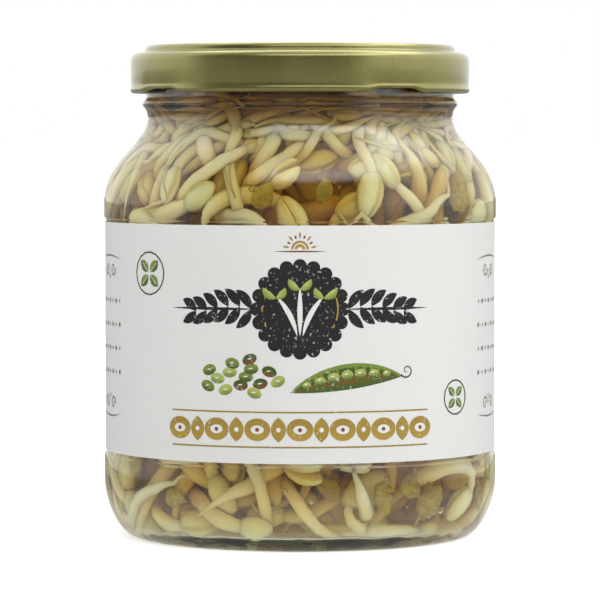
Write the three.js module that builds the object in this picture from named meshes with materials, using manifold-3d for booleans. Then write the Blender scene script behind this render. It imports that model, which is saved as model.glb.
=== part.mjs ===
// A jar of bean sprouts: a glass jar with a four-lug twist-off lid, the sealing ring in the lid,
// a paper label, the brine and the bunch of sprouts that stands in it.
// Millimetres, +Z up. The origin is the centre of the ring that the jar stands on.
import * as THREE from "three";
import { mergeVertices } from "three/addons/utils/BufferGeometryUtils.js";
import Module from "manifold-3d";

const wasm = await Module();
wasm.setup();

// ---- Glass jar ----
const BODY_R = 39.85; // outside of the body, over and under the label
const PANEL_R = 39.4; // outside of the shallow panel that the label sits in
const PANEL_BOTTOM = 17.2;
const PANEL_TOP = 64.4;
const PANEL_EDGE = 0.5; // height of the slope at each end of the panel
const SHOULDER_START = 67.8; // height where the body begins to turn in
const SHOULDER_END = 85; // height where the shoulder reaches the neck
const SHOULDER_LEAVE = 0.51; // how long the shoulder's curve keeps straight up as it leaves the body
const SHOULDER_ARRIVE = 0.3; // and as it reaches the neck, as shares of its height
const WALL = 2.4; // glass thickness of the body
const FLOOR = 5; // glass thickness of the base
const FLOOR_DIP = 0.4; // how much lower the middle of the jar's floor is than its edge
const HOLLOW_HEEL_INSET = 2; // how much smaller the hollow's heel starts, and how much lower it is
const HOLLOW_SHOULDER_DROP = 1.2; // how much lower the hollow begins to turn in
const FOOT_OUTER_R = 33.2; // outer edge of the flat ring that the jar stands on
const FOOT_INNER_R = 30.4;
const PUSH_UP = 1.5; // height of the hollow under the base
const PUSH_UP_EDGE = [0.75, 0.7]; // shares of its radius and height where it turns down
const HEEL_HEIGHT = 12.1;
const HEEL_POWER = 1.85; // roundness of the heel, 2 is an ellipse
const NECK_R = 31;
const BEAD_R = 32; // the ring of glass just under the lid
const BEAD_Z = 87.8;
const BEAD_ROUND = 0.9;
const BEAD_TOP = 1.2; // from the bead's middle up to the straight finish
const FINISH_R = 31.3; // outside of the mouth, between the threads
const MOUTH_R = 28.6; // inside of the mouth
const RIM_Z = 98.3;
const RIM_ROUND = (FINISH_R - MOUTH_R) / 2;

// ---- Twist-off threads and lid ----
const LUGS = 4;
const FIRST_LUG_DEG = -55.5; // direction of the first lug, seen from above, from +X
const LUG_WIDTH_DEG = 14;
const LUG_TIP_R = 31.75; // how far in the lugs reach
const LUG_BOTTOM = 90.1;
const LUG_TOP = 91.7;
const OPEN_TURN_DEG = 67; // turn that brings the lugs to the gaps between the threads
const OPEN_RISE = 2.4; // how far the lid rises in that turn
const THREAD_R = 32.5;
const THREAD_HEIGHT = 1.4;
const THREAD_ROOT = 0.5; // how deep a thread is sunk into the finish
const THREAD_GAP = 0.5; // play between a lug and the thread over it
const THREAD_LEAD_IN_DEG = 8; // thread before the seated lug
const THREAD_RUN_DEG = 52; // thread past the seated lug
const LID_R = 34.35;
const LID_TOP = 99.6; // top of the raised ring
const LID_PANEL_Z = 98; // top of the flat panel inside the ring
const LID_SHEET = 0.35;
const RING_R = FINISH_R - RIM_ROUND; // middle of the raised ring, over the jar's rim
const RING_ROUND = 1.1; // the outer edge of the ring
const RING_OUTSIDE = [[-1.8, -1.6], [-1.4, -0.35], [-0.9, 0], [0.4, 0]]; // from its middle and its top
const RING_INSIDE = [[0.4, -0.35], [-0.8, -0.35], [-1.05, -0.5], [-1.45, -1.95]];
const LID_STEP = [2, -1.35]; // the step outside the ring, from the ring's middle and top
const LID_ROUND = 1.5; // the outer edge of the lid
const LID_ROUND_DROP = 3.1; // from the top of the ring down to that edge's centre
const SKIRT_OVER_CURL = 0.35; // where the inside of the skirt meets the rolled edge
const CURL_R = 0.75; // the rolled edge of the lid
const CURL_PROUD = 0.1; // how far it stands out past the skirt
const CURL_Z = 90.65;
const BUTTON_R = 12.5; // the vacuum button
const BUTTON_DROP = 0.5;
const BUTTON_SLOPE = 1; // width of the slope round the button
const BUTTON_INSIDE = 0.2; // how much wider that slope lies on the lid's inside
const SEAL_INNER_R = 29.35;
const SEAL_OUTER_R = 30.4;
const SEAL_BOTTOM = 98.55;
const SEAL_HEIGHT = 0.4;

// ---- Label and contents ----
const LABEL_BOTTOM = 17.8;
const LABEL_HEIGHT = 46.2;
const LABEL_PAPER = 0.15;
const LABEL_GLUE = 0.1; // gap between the paper and the glass
const LABEL_GAP_FACETS = 2; // facets of the jar's back that the label leaves bare
const BACK_DEG = 90; // direction of the jar's back
const FILL_Z = 91; // level of the brine, up in the neck
const BRINE_GAP = 0.35; // from the glass to the brine, and from the brine to the bunch
const BRINE_LAYER = 1; // brine between the bunch and the glass
const STEM_R = [1.25, 1.65]; // thinnest and thickest stem
const STEM_SIDES = 5;
const SPROUT_LENGTH = [26, 40]; // from the root's end to the tip of the seed leaves
const ROOT_SHARE = 0.45; // width of the root's end, as a share of the stem's
const ROOT_LENGTH_SHARE = 0.3; // share of the sprout that the root takes
const SPROUT_BEND = [0.02, 0.11]; // curl of a sprout, in radians for each millimetre
const ROOT_STEPS = 3; // a sprout rises out of the core in this many of its steps
const HEAD_R = 2.7; // half width of the two seed leaves together
const HEAD_LENGTH = 8.5;
const HEAD_TIP_R = 0.9;
const HEAD_NECK = 0.2; // share of the head's outline that is cut off where it meets the stem
const SKIN_SIZE = [3.6, 2.5, 0.9]; // half sizes of a loose seed coat
const SKIN_LIFT = 0.8; // height of its middle over the core
const SKIN_AHEAD = 0.05; // direction of the spot that it points to, in radians from its own
const SKIN_LEAN = [-2, 2]; // and how far along the outline that spot is
const SKIN_SIDES = 6;
const SKIN_RINGS = 4;
const SPROUTS = 69;
const SKINS = 6;
const MOST_TRIES = 4000;
const SPREAD_ROUND = 0.7548776662; // spacings of spots that never repeat and spread evenly
const SPREAD_ALONG = 0.569840291;
const BUNCH_R = 27; // the bunch's core, which the sprouts stand out of
const BUNCH_OUTLINE = [ // half its outline, as shares of BUNCH_R and heights
  [0, 14.4], [0.58, 14.7], [0.88, 17.2], [1, 25], [1, 40],
  [1, 60], [0.93, 67.5], [0.74, 74], [0.5, 77.2], [0, 78],
];
const BUNCH_RINGS = 9;
const BUNCH_ENDS = [12, 10]; // sprouts turn back this far from the outline's two ends
const TURN_BACK = 0.5; // by this angle a step, in radians
const LEAST_WIDTH = 6; // core radius under which a sprout's steps no longer widen its turn
const ROOT_LIFT = -2.5; // a sprout's middle line starts this deep in the core
const SPROUT_LIFT = [2.6, 5.6]; // and rises to between these distances off its surface
const CLEARANCE = 2.6; // least distance between the middle lines of two sprouts

const FACETS = 36; // sides of the jar and the lid
const INNER_FACETS = 24; // sides of the brine
const BUNCH_FACETS = 16; // sides of the bunch's core
const SPROUT_STEPS = 9; // lengths that a sprout is made in
const SLIVER = 0.06; // the joined bunch loses slivers finer than this
const SAME_SPOT = 1e-4; // points nearer than this are one

// ---- Helpers ----
const point = (r, z) => new THREE.Vector2(r, z);
const between = ([low, high], share) => low + (high - low) * share;

// Points at offsets given as radius and height from a spot.
const pointsFrom = (r, z, offsets) => offsets.map(([dr, dz]) => point(r + dr, z + dz));

// Points of a shoulder that turns in from radius r0 at height z0 to radius r1 at height z1.
function shoulder(r0, z0, r1, z1, count) {
  const leave = SHOULDER_LEAVE * (z1 - z0);
  const arrive = SHOULDER_ARRIVE * (z1 - z0);
  const curve = new THREE.CubicBezierCurve(
    point(r0, z0), point(r0, z0 + leave), point(r1, z1 - arrive), point(r1, z1));
  return curve.getPoints(count);
}

// Points of a rounded corner about (r, z), from angle a0 to a1 in degrees.
function corner(r, z, radius, a0, a1, count) {
  const from = THREE.MathUtils.degToRad(a0);
  const to = THREE.MathUtils.degToRad(a1);
  return new THREE.EllipseCurve(r, z, radius, radius, from, to, from > to).getPoints(count);
}

// Points of the heel, a superellipse from the foot up to the body.
function heel(footR, bodyR, bottom, height, count) {
  const points = [];
  for (let i = 0; i <= count; i += 1) {
    const t = (i / count) * (Math.PI / 2);
    const out = Math.sin(t) ** (2 / HEEL_POWER);
    const up = 1 - Math.cos(t) ** (2 / HEEL_POWER);
    points.push(point(footR + (bodyR - footR) * out, bottom + height * up));
  }
  return points;
}

// A profile turned about Z. Its points are given as radius and height.
function turned(profile, facets) {
  return new THREE.LatheGeometry(profile, facets).rotateX(Math.PI / 2);
}

// A piece of ring between two radii and two angles in degrees, as thick as height.
function ringPiece(innerR, outerR, fromDeg, toDeg, height, facets) {
  const from = THREE.MathUtils.degToRad(fromDeg);
  const to = THREE.MathUtils.degToRad(toDeg);
  const outline = new THREE.Shape();
  outline.moveTo(outerR * Math.cos(from), outerR * Math.sin(from));
  outline.absarc(0, 0, outerR, from, to, false);
  outline.lineTo(innerR * Math.cos(to), innerR * Math.sin(to));
  outline.absarc(0, 0, innerR, to, from, true);
  const settings = { depth: height, bevelEnabled: false, curveSegments: facets };
  return new THREE.ExtrudeGeometry(outline, settings);
}

// The same closed surface as a manifold solid, with its faces turned outwards.
function solid(geometry) {
  const bare = geometry.clone();
  bare.deleteAttribute("normal");
  bare.deleteAttribute("uv");
  const merged = mergeVertices(bare, SAME_SPOT);
  const vertProperties = new Float32Array(merged.attributes.position.array);
  const triVerts = new Uint32Array(merged.index.array);
  const volume = signedVolume(vertProperties, triVerts);
  if (volume < 0) triVerts.reverse();
  return new wasm.Manifold(new wasm.Mesh({ numProp: 3, vertProperties, triVerts }));
}

// The volume inside a closed surface, below zero where its faces are turned inwards.
function signedVolume(vertices, triangles) {
  const vertex = (i) => new THREE.Vector3().fromArray(vertices, 3 * triangles[i]);
  let sum = 0;
  for (let i = 0; i < triangles.length; i += 3) {
    sum += vertex(i).dot(vertex(i + 1).cross(vertex(i + 2)));
  }
  return sum / 6;
}

// The outer skin of a joined solid: hollows sealed inside it are filled and loose scraps dropped.
function outerSkin(joined) {
  return joined.decompose().reduce((best, next) => (next.volume() > best.volume() ? next : best));
}

function geometryOf(manifold) {
  const mesh = manifold.getMesh();
  const geometry = new THREE.BufferGeometry();
  geometry.setAttribute("position", new THREE.BufferAttribute(mesh.vertProperties, 3));
  geometry.setIndex(new THREE.BufferAttribute(mesh.triVerts, 1));
  geometry.computeVertexNormals();
  return geometry;
}

// ---- Jar ----
// The hollow of the jar, from the middle of the floor to the neck, drawn in by a clearance.
function hollowProfile(inset) {
  const bodyR = PANEL_R - WALL - inset;
  return [
    point(0, FLOOR - FLOOR_DIP + inset),
    ...heel(FOOT_INNER_R - HOLLOW_HEEL_INSET, bodyR, FLOOR + inset, HEEL_HEIGHT - HOLLOW_HEEL_INSET, 4),
    ...shoulder(bodyR, SHOULDER_START - HOLLOW_SHOULDER_DROP, MOUTH_R - inset, SHOULDER_END, 5),
  ];
}

function jarGlass() {
  const outside = [
    point(0, PUSH_UP),
    point(PUSH_UP_EDGE[0] * FOOT_INNER_R, PUSH_UP_EDGE[1] * PUSH_UP),
    point(FOOT_INNER_R, 0),
    ...heel(FOOT_OUTER_R, BODY_R, 0, HEEL_HEIGHT, 6),
    point(BODY_R, PANEL_BOTTOM - PANEL_EDGE),
    point(PANEL_R, PANEL_BOTTOM),
    point(PANEL_R, PANEL_TOP),
    point(BODY_R, PANEL_TOP + PANEL_EDGE),
    ...shoulder(BODY_R, SHOULDER_START, NECK_R, SHOULDER_END, 7),
    ...corner(BEAD_R - BEAD_ROUND, BEAD_Z, BEAD_ROUND, -60, 60, 3),
    point(FINISH_R, BEAD_Z + BEAD_TOP),
    ...corner(FINISH_R - RIM_ROUND, RIM_Z - RIM_ROUND, RIM_ROUND, 0, 180, 4),
  ];
  const inside = hollowProfile(0).reverse();
  let glass = solid(turned([...outside, ...inside], FACETS));
  for (let i = 0; i < LUGS; i += 1) glass = glass.add(solid(thread(lugDirection(i))));
  return geometryOf(glass);
}

// The direction of a lug of the closed lid, in degrees.
const lugDirection = (i) => FIRST_LUG_DEG + (i * 360) / LUGS;

// One thread: its underside climbs over the seated lug at lugDeg, by the lid's rise for its turn.
function thread(lugDeg) {
  const from = lugDeg - THREAD_LEAD_IN_DEG;
  const to = lugDeg + THREAD_RUN_DEG;
  const ridge = ringPiece(FINISH_R - THREAD_ROOT, THREAD_R, from, to, THREAD_HEIGHT, 8);
  const spot = new THREE.Vector3();
  const middle = THREE.MathUtils.degToRad(lugDeg);
  const places = ridge.attributes.position;
  for (let i = 0; i < places.count; i += 1) {
    spot.fromBufferAttribute(places, i);
    const direction = Math.atan2(spot.y, spot.x) - middle + Math.PI;
    const turn = THREE.MathUtils.euclideanModulo(direction, 2 * Math.PI) - Math.PI;
    const climb = (OPEN_RISE * THREE.MathUtils.radToDeg(turn)) / OPEN_TURN_DEG;
    places.setZ(i, spot.z + LUG_TOP + THREAD_GAP + climb);
  }
  return ridge;
}

// ---- Lid ----
function lid() {
  const underPanel = LID_PANEL_Z - LID_SHEET;
  const outside = [
    point(0, LID_PANEL_Z - BUTTON_DROP),
    point(BUTTON_R - BUTTON_SLOPE, LID_PANEL_Z - BUTTON_DROP),
    point(BUTTON_R, LID_PANEL_Z),
    ...pointsFrom(RING_R, LID_TOP, RING_OUTSIDE),
    ...corner(RING_R + RING_OUTSIDE[3][0], LID_TOP - RING_ROUND, RING_ROUND, 60, 0, 2),
    ...pointsFrom(RING_R, LID_TOP, [LID_STEP]),
    ...corner(LID_R - LID_ROUND, LID_TOP - LID_ROUND_DROP, LID_ROUND, 80, 0, 3),
  ];
  const curl = corner(LID_R + CURL_PROUD - CURL_R, CURL_Z, CURL_R, 50, -215, 6);
  const inside = [
    point(LID_R - LID_SHEET, CURL_Z + CURL_R + SKIRT_OVER_CURL),
    ...corner(LID_R - LID_ROUND, LID_TOP - LID_ROUND_DROP, LID_ROUND - LID_SHEET, 0, 80, 3),
    ...pointsFrom(RING_R, LID_TOP - LID_SHEET, [LID_STEP]),
    ...corner(RING_R + RING_INSIDE[0][0], LID_TOP - RING_ROUND, RING_ROUND - LID_SHEET, 0, 60, 2),
    ...pointsFrom(RING_R, LID_TOP, RING_INSIDE),
    point(BUTTON_R + BUTTON_INSIDE, underPanel),
    point(BUTTON_R + BUTTON_INSIDE - BUTTON_SLOPE, underPanel - BUTTON_DROP),
    point(0, underPanel - BUTTON_DROP),
  ];
  let shell = solid(turned([...outside, ...curl, ...inside], FACETS));
  for (let i = 0; i < LUGS; i += 1) {
    const from = lugDirection(i) - LUG_WIDTH_DEG / 2;
    const to = from + LUG_WIDTH_DEG;
    const lug = ringPiece(LUG_TIP_R, LID_R - CURL_R, from, to, LUG_TOP - LUG_BOTTOM, 3);
    shell = shell.add(solid(lug.translate(0, 0, LUG_BOTTOM)));
  }
  return geometryOf(shell);
}

function lidSeal() {
  const top = SEAL_BOTTOM + SEAL_HEIGHT;
  const section = [
    point(SEAL_INNER_R, SEAL_BOTTOM),
    point(SEAL_OUTER_R, SEAL_BOTTOM),
    point(SEAL_OUTER_R, top),
    point(SEAL_INNER_R, top),
    point(SEAL_INNER_R, SEAL_BOTTOM),
  ];
  return geometryOf(solid(turned(section, FACETS)));
}

// ---- Label ----
// A strip of paper wrapped round the panel, facet on facet with the glass. It leaves the back bare.
function label() {
  const facetDeg = 360 / FACETS;
  const halfGap = (LABEL_GAP_FACETS / 2) * facetDeg;
  const inner = PANEL_R + LABEL_GLUE;
  const wrap = FACETS - LABEL_GAP_FACETS;
  const from = BACK_DEG + halfGap;
  const to = BACK_DEG + 360 - halfGap;
  const strip = ringPiece(inner, inner + LABEL_PAPER, from, to, LABEL_HEIGHT, wrap);
  return strip.translate(0, 0, LABEL_BOTTOM);
}

// ---- Brine ----
// The brine lies along the glass all round, with one plain hole in it where the bunch stands.
function brine() {
  const filled = (inset, top) => solid(turned(
    [...hollowProfile(inset), point(MOUTH_R - inset, top), point(0, top)], INNER_FACETS));
  const hole = filled(BRINE_GAP + BRINE_LAYER, FILL_Z + BRINE_LAYER);
  return geometryOf(filled(BRINE_GAP, FILL_Z).subtract(hole));
}

// ---- Bean sprouts ----
const bunchOutline = new THREE.SplineCurve(BUNCH_OUTLINE.map(([r, z]) => point(r * BUNCH_R, z)));
const outlineLength = bunchOutline.getLength();

// A seeded stream of shares from 0 to 1, so that the bunch is the same each time.
let seed = 20;
function random() {
  seed = (seed + 0x6d2b79f5) | 0;
  let t = Math.imul(seed ^ (seed >>> 15), 1 | seed);
  t = (t + Math.imul(t ^ (t >>> 7), 61 | t)) ^ t;
  return ((t ^ (t >>> 14)) >>> 0) / 4294967296;
}

// The spot at a direction and a distance along the outline, lifted off the core's surface.
function onBunch(direction, along, lift) {
  const share = THREE.MathUtils.clamp(along / outlineLength, 0.001, 0.999);
  const base = bunchOutline.getPointAt(share);
  const slope = bunchOutline.getTangentAt(share);
  const r = base.x + lift * slope.y;
  return new THREE.Vector3(r * Math.cos(direction), r * Math.sin(direction), base.y - lift * slope.x);
}

// The next of a never-ending row of spots that spread evenly over the core, by direction and by
// distance along the outline. Where the core is narrow some are passed over.
let spotNumber = 0;
function nextSpot() {
  spotNumber += 1;
  const direction = 2 * Math.PI * ((spotNumber * SPREAD_ROUND) % 1);
  const along = outlineLength * ((spotNumber * SPREAD_ALONG) % 1);
  const width = bunchOutline.getPointAt(along / outlineLength).x / BUNCH_R;
  return random() < width ? { direction, along } : nextSpot();
}

// The middle line of a sprout: it leaves the core and curls along it out to the head.
function middleLine({ direction, along }) {
  const step = between(SPROUT_LENGTH, random()) / SPROUT_STEPS;
  const bend = (random() < 0.5 ? -1 : 1) * between(SPROUT_BEND, random());
  const lift = between(SPROUT_LIFT, random());
  let heading = random() * 2 * Math.PI;
  let turn = direction;
  let reach = along;
  const line = [];
  for (let i = 0; i <= SPROUT_STEPS; i += 1) {
    line.push(onBunch(turn, reach, between([ROOT_LIFT, lift], Math.min(1, i / ROOT_STEPS))));
    const share = THREE.MathUtils.clamp(reach / outlineLength, 0, 1);
    const wide = Math.max(LEAST_WIDTH, bunchOutline.getPointAt(share).x);
    turn += (step * Math.cos(heading)) / wide;
    reach += step * Math.sin(heading);
    heading += bend * step;
    const nearEnd = reach < BUNCH_ENDS[0] || reach > outlineLength - BUNCH_ENDS[1];
    if (nearEnd) heading += TURN_BACK * Math.sign(bend);
  }
  return line;
}

// True if a new middle line keeps clear of those already placed.
function isClear(line, placed) {
  const isFar = (spot) => line.every((own) => own.distanceTo(spot) > CLEARANCE);
  return placed.every((other) => other.every(isFar));
}

// Middle lines of the sprouts, spread evenly over the core and clear of each other.
function middleLines() {
  const placed = [];
  for (let i = 0; placed.length < SPROUTS && i < MOST_TRIES; i += 1) {
    const line = middleLine(nextSpot());
    if (isClear(line, placed)) placed.push(line);
  }
  return placed;
}

// Half width of a sprout at a distance from its root's end: root, stem, then the seed leaves.
function halfWidth(distance, length, stemR) {
  const headShare = (distance - (length - HEAD_LENGTH)) / HEAD_LENGTH;
  if (headShare > 0) {
    const swell = Math.sin(Math.PI * Math.min(1, between([HEAD_NECK, 1], headShare)));
    return between([HEAD_TIP_R, HEAD_R], swell);
  }
  return stemR * between([ROOT_SHARE, 1], Math.min(1, distance / (ROOT_LENGTH_SHARE * length)));
}

// One sprout: a round section swept along its middle line and swollen or thinned on the way.
function sprout(line) {
  const stemR = between(STEM_R, random());
  const circle = new THREE.EllipseCurve(0, 0, 1, 1);
  const section = new THREE.Shape(circle.getPoints(STEM_SIDES).slice(0, STEM_SIDES));
  const route = new THREE.CatmullRomCurve3(line);
  const settings = { steps: SPROUT_STEPS, extrudePath: route, curveSegments: 1 };
  const swept = new THREE.ExtrudeGeometry(section, settings);
  const centres = route.getSpacedPoints(SPROUT_STEPS);
  const length = route.getLength();
  const spot = new THREE.Vector3();
  const places = swept.attributes.position;
  for (let i = 0; i < places.count; i += 1) {
    spot.fromBufferAttribute(places, i);
    const away = centres.map((centre) => centre.distanceToSquared(spot));
    const ring = away.indexOf(Math.min(...away));
    const width = halfWidth((ring * length) / SPROUT_STEPS, length, stemR);
    spot.sub(centres[ring]).setLength(width).add(centres[ring]);
    places.setXYZ(i, spot.x, spot.y, spot.z);
  }
  return solid(swept);
}

// A rounded lump with the given half sizes, long along a direction and flat towards the bunch.
function lens(halfSizes, place, direction) {
  const outward = new THREE.Vector3(place.x, place.y, 0).normalize();
  const side = new THREE.Vector3().crossVectors(outward, direction).normalize();
  const up = new THREE.Vector3().crossVectors(direction, side).normalize();
  const frame = new THREE.Matrix4().makeBasis(direction, side, up).setPosition(place);
  const ball = new THREE.SphereGeometry(1, SKIN_SIDES, SKIN_RINGS).rotateZ(Math.PI / 2);
  return ball.scale(...halfSizes).applyMatrix4(frame);
}

// A seed coat lying on the bunch.
function seedCoat({ direction, along }) {
  const place = onBunch(direction, along, SKIN_LIFT);
  const ahead = onBunch(direction + SKIN_AHEAD, along + between(SKIN_LEAN, random()), SKIN_LIFT);
  return solid(lens(SKIN_SIZE, place, ahead.sub(place).normalize()));
}

function beanSprouts() {
  const pieces = [solid(turned(bunchOutline.getSpacedPoints(BUNCH_RINGS), BUNCH_FACETS))];
  for (const line of middleLines()) pieces.push(sprout(line));
  for (let i = 0; i < SKINS; i += 1) pieces.push(seedCoat(nextSpot()));
  return geometryOf(outerSkin(wasm.Manifold.union(pieces).simplify(SLIVER)));
}

// ---- Materials and assembly ----
const clearGlass = { color: 0xdfe8e0, roughness: 0.04, metalness: 0, transparent: true, opacity: 0.3 };
const goldTinplate = { color: 0x8c8a55, roughness: 0.35, metalness: 0.8 };
const sealingCompound = { color: 0xd9d2bf, roughness: 0.6, metalness: 0 };
const labelPaper = { color: 0xe6e5e2, roughness: 0.7, metalness: 0 };
const paleBrine = { color: 0xd9cfa0, roughness: 0.05, metalness: 0, transparent: true, opacity: 0.3 };
const sproutFlesh = { color: 0xd2bf7c, roughness: 0.45, metalness: 0 };

const jar = new THREE.Group();
function addPiece(name, geometry, finish) {
  const piece = new THREE.Mesh(geometry, new THREE.MeshStandardMaterial(finish));
  piece.name = name;
  jar.add(piece);
}

addPiece("jar_glass", jarGlass(), clearGlass);
addPiece("lid", lid(), goldTinplate);
addPiece("lid_seal", lidSeal(), sealingCompound);
addPiece("label", label(), labelPaper);
addPiece("brine", brine(), paleBrine);
addPiece("bean_sprouts", beanSprouts(), sproutFlesh);

export default jar;
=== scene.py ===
"""Looks of a jar of bean sprouts: glass, twist-off lid, paper label, brine and the sprouts in it."""

import logging
import math
from contextlib import contextmanager
from dataclasses import dataclass, field
from enum import Enum
from typing import Callable, Iterator, Sequence

import bpy
import numpy as np
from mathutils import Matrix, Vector


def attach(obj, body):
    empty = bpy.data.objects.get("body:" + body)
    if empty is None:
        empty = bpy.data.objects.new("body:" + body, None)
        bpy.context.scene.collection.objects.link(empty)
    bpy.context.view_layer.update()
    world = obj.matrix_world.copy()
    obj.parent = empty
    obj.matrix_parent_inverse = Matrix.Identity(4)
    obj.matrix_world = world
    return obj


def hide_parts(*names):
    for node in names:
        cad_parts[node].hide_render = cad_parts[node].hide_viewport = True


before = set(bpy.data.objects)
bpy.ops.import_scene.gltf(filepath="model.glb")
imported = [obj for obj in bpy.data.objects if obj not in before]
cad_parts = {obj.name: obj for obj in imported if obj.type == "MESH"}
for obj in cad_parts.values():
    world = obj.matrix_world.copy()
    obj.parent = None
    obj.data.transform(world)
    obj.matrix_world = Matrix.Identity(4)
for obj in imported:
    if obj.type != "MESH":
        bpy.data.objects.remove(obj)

logging.basicConfig(level=logging.INFO, format="%(message)s")
LOG = logging.getLogger("jar")

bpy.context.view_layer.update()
MM = 0.001
FRONT = -math.pi / 2

Piece = bpy.types.Object
Material = bpy.types.Material
Socket = bpy.types.NodeSocket
Array = np.ndarray
Along = Callable[[Array], Array]
Point = tuple[float, float]
Pair = tuple[float, float]
Profile = list[Point]
Colour = tuple[float, float, float]
Way = tuple[float, float, float]
WHITE: Colour = (1.0, 1.0, 1.0)


# ---- Sizes


@dataclass(frozen=True)
class JarSizes:
    """Sizes of the jar, its lid and its fill, in millimetres."""

    body_r: float = 39.85
    panel_r: float = 39.4
    panel_bottom: float = 17.2
    panel_top: float = 64.4
    panel_edge: float = 0.5
    shoulder_start: float = 67.8
    shoulder_end: float = 85.0
    wall: float = 2.4
    floor: float = 3.6
    foot_outer_r: float = 33.2
    foot_inner_r: float = 30.4
    push_up: float = 1.5
    heel_height: float = 12.1
    heel_power: float = 1.85
    neck_r: float = 31.0
    bead_r: float = 32.0
    bead_z: float = 87.8
    finish_r: float = 31.3
    mouth_r: float = 28.6
    rim_z: float = 98.3
    lugs: int = 4
    first_lug_deg: float = -55.5
    lug_width_deg: float = 14.0
    lug_top: float = 91.7
    open_turn_deg: float = 67.0
    open_rise: float = 2.4
    thread_r: float = 32.5
    thread_height: float = 1.4
    thread_gap: float = 0.5
    thread_lead_in_deg: float = 8.0
    thread_run_deg: float = 52.0
    lid_r: float = 34.35
    lid_top: float = 99.6
    lid_panel_z: float = 98.0
    lid_sheet: float = 0.35
    curl_r: float = 0.75
    curl_z: float = 90.65
    button_r: float = 12.5
    button_drop: float = 0.5
    fill_z: float = 91.0

    @property
    def rim_round(self) -> float:
        """Radius of the rounded rim of the mouth."""
        return (self.finish_r - self.mouth_r) / 2

    @property
    def inner_r(self) -> float:
        """Radius of the hollow in the body."""
        return self.panel_r - self.wall

    def turns_from_lugs(self, angles: Array) -> list[Array]:
        """How far directions lie past each lug, in degrees from -180 to 180."""
        past = [angles - self.first_lug_deg - i * 360 / self.lugs for i in range(self.lugs)]
        return [(turn + 180) % 360 - 180 for turn in past]


SIZES = JarSizes()


def corner(r: float, z: float, radius: float, start: float, end: float, count: int) -> Profile:
    """Points of a round corner.

    Args:
        r: Radius of the corner's centre.
        z: Height of the corner's centre.
        radius: Radius of the corner.
        start: First angle in degrees, from outwards towards up.
        end: Last angle in degrees.
        count: Number of steps.

    Returns:
        The points, from start to end.
    """
    angles = [math.radians(start + (end - start) * i / count) for i in range(count + 1)]
    return [(r + radius * math.cos(a), z + radius * math.sin(a)) for a in angles]


def heel(foot_r: float, body_r: float, bottom: float, height: float, count: int) -> Profile:
    """Points of the rounded heel, a superellipse from the foot up to the body.

    Args:
        foot_r: Radius where the heel leaves the foot.
        body_r: Radius of the body above.
        bottom: Height of the foot.
        height: Height of the heel.
        count: Number of steps.

    Returns:
        The points, from the foot up.
    """
    points = []
    for i in range(count + 1):
        t = i / count * math.pi / 2
        out = math.sin(t) ** (2 / SIZES.heel_power)
        up = 1 - max(0.0, math.cos(t)) ** (2 / SIZES.heel_power)
        points.append((foot_r + (body_r - foot_r) * out, bottom + height * up))
    return points


def shoulder(r0: float, z0: float, r1: float, z1: float, count: int) -> Profile:
    """Points of a shoulder that turns in from one radius to another.

    Args:
        r0: Radius at the bottom.
        z0: Height at the bottom.
        r1: Radius at the top.
        z1: Height at the top.
        count: Number of steps.

    Returns:
        The points, from the bottom up.
    """
    leave, arrive = 0.51 * (z1 - z0), 0.3 * (z1 - z0)
    handles = (r0, z0), (r0, z0 + leave), (r1, z1 - arrive), (r1, z1)
    points = []
    for i in range(count + 1):
        t = i / count
        weights = ((1 - t) ** 3, 3 * t * (1 - t) ** 2, 3 * t * t * (1 - t), t**3)
        points.append(tuple(sum(w * p[axis] for w, p in zip(weights, handles)) for axis in (0, 1)))
    return points


def hollow_profile(inset: float, count: int) -> Profile:
    """Outline of the jar's hollow, from the middle of its floor to the neck.

    Args:
        inset: How far the outline is drawn in from the glass.
        count: Steps in each round stretch.

    Returns:
        The points, from the floor up.
    """
    s = SIZES
    body_r, floor = s.inner_r - inset, s.floor + inset
    sag = ((0.0, 0.4), (0.4, 0.34), (0.8, 0.12))
    dip = [(share * s.foot_inner_r, floor - depth) for share, depth in sag]
    wall = heel(s.foot_outer_r - 2, body_r, floor, s.heel_height - 3, count)
    return dip + wall + shoulder(body_r, s.shoulder_start - 1.2, s.mouth_r - inset, s.shoulder_end, count)


def radius_at(rows: Profile, heights: Array | float) -> Array:
    """The radius of a profile at the given heights."""
    return np.interp(heights, [z for _, z in rows], [r for r, _ in rows])


# ---- Mesh tools


def unit(rows: Array) -> Array:
    """Vectors, one in each row, brought to unit length."""
    return rows / np.linalg.norm(rows, axis=-1, keepdims=True).clip(1e-9)


def ease(values: Array) -> Array:
    """Values held between 0 and 1, eased at both ends."""
    held = np.clip(values, 0, 1)
    return held * held * (3 - 2 * held)


def polar(points: Array) -> tuple[Array, Array]:
    """The distance of points from the jar's axis, and their direction in degrees."""
    return np.hypot(points[:, 0], points[:, 1]), np.degrees(np.arctan2(points[:, 1], points[:, 0]))


def deselect() -> None:
    """Leaves edit mode and deselects everything."""
    if bpy.context.object and bpy.context.object.mode != "OBJECT":
        bpy.ops.object.mode_set(mode="OBJECT")
    bpy.ops.object.select_all(action="DESELECT")


def make_active(piece: Piece) -> None:
    """Selects one object alone and makes it the active one.

    Args:
        piece: The object.
    """
    deselect()
    piece.select_set(True)
    bpy.context.view_layer.objects.active = piece


@contextmanager
def editing(action: str | None = "SELECT") -> Iterator[None]:
    """Edit mode for the active piece, first selecting or deselecting all of it.

    Args:
        action: What is done to the selection first: SELECT, DESELECT, or nothing.

    Returns:
        A context in which edit mode lasts.
    """
    bpy.ops.object.mode_set(mode="EDIT")
    if action:
        bpy.ops.mesh.select_all(action=action)
    yield
    bpy.ops.object.mode_set(mode="OBJECT")


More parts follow.
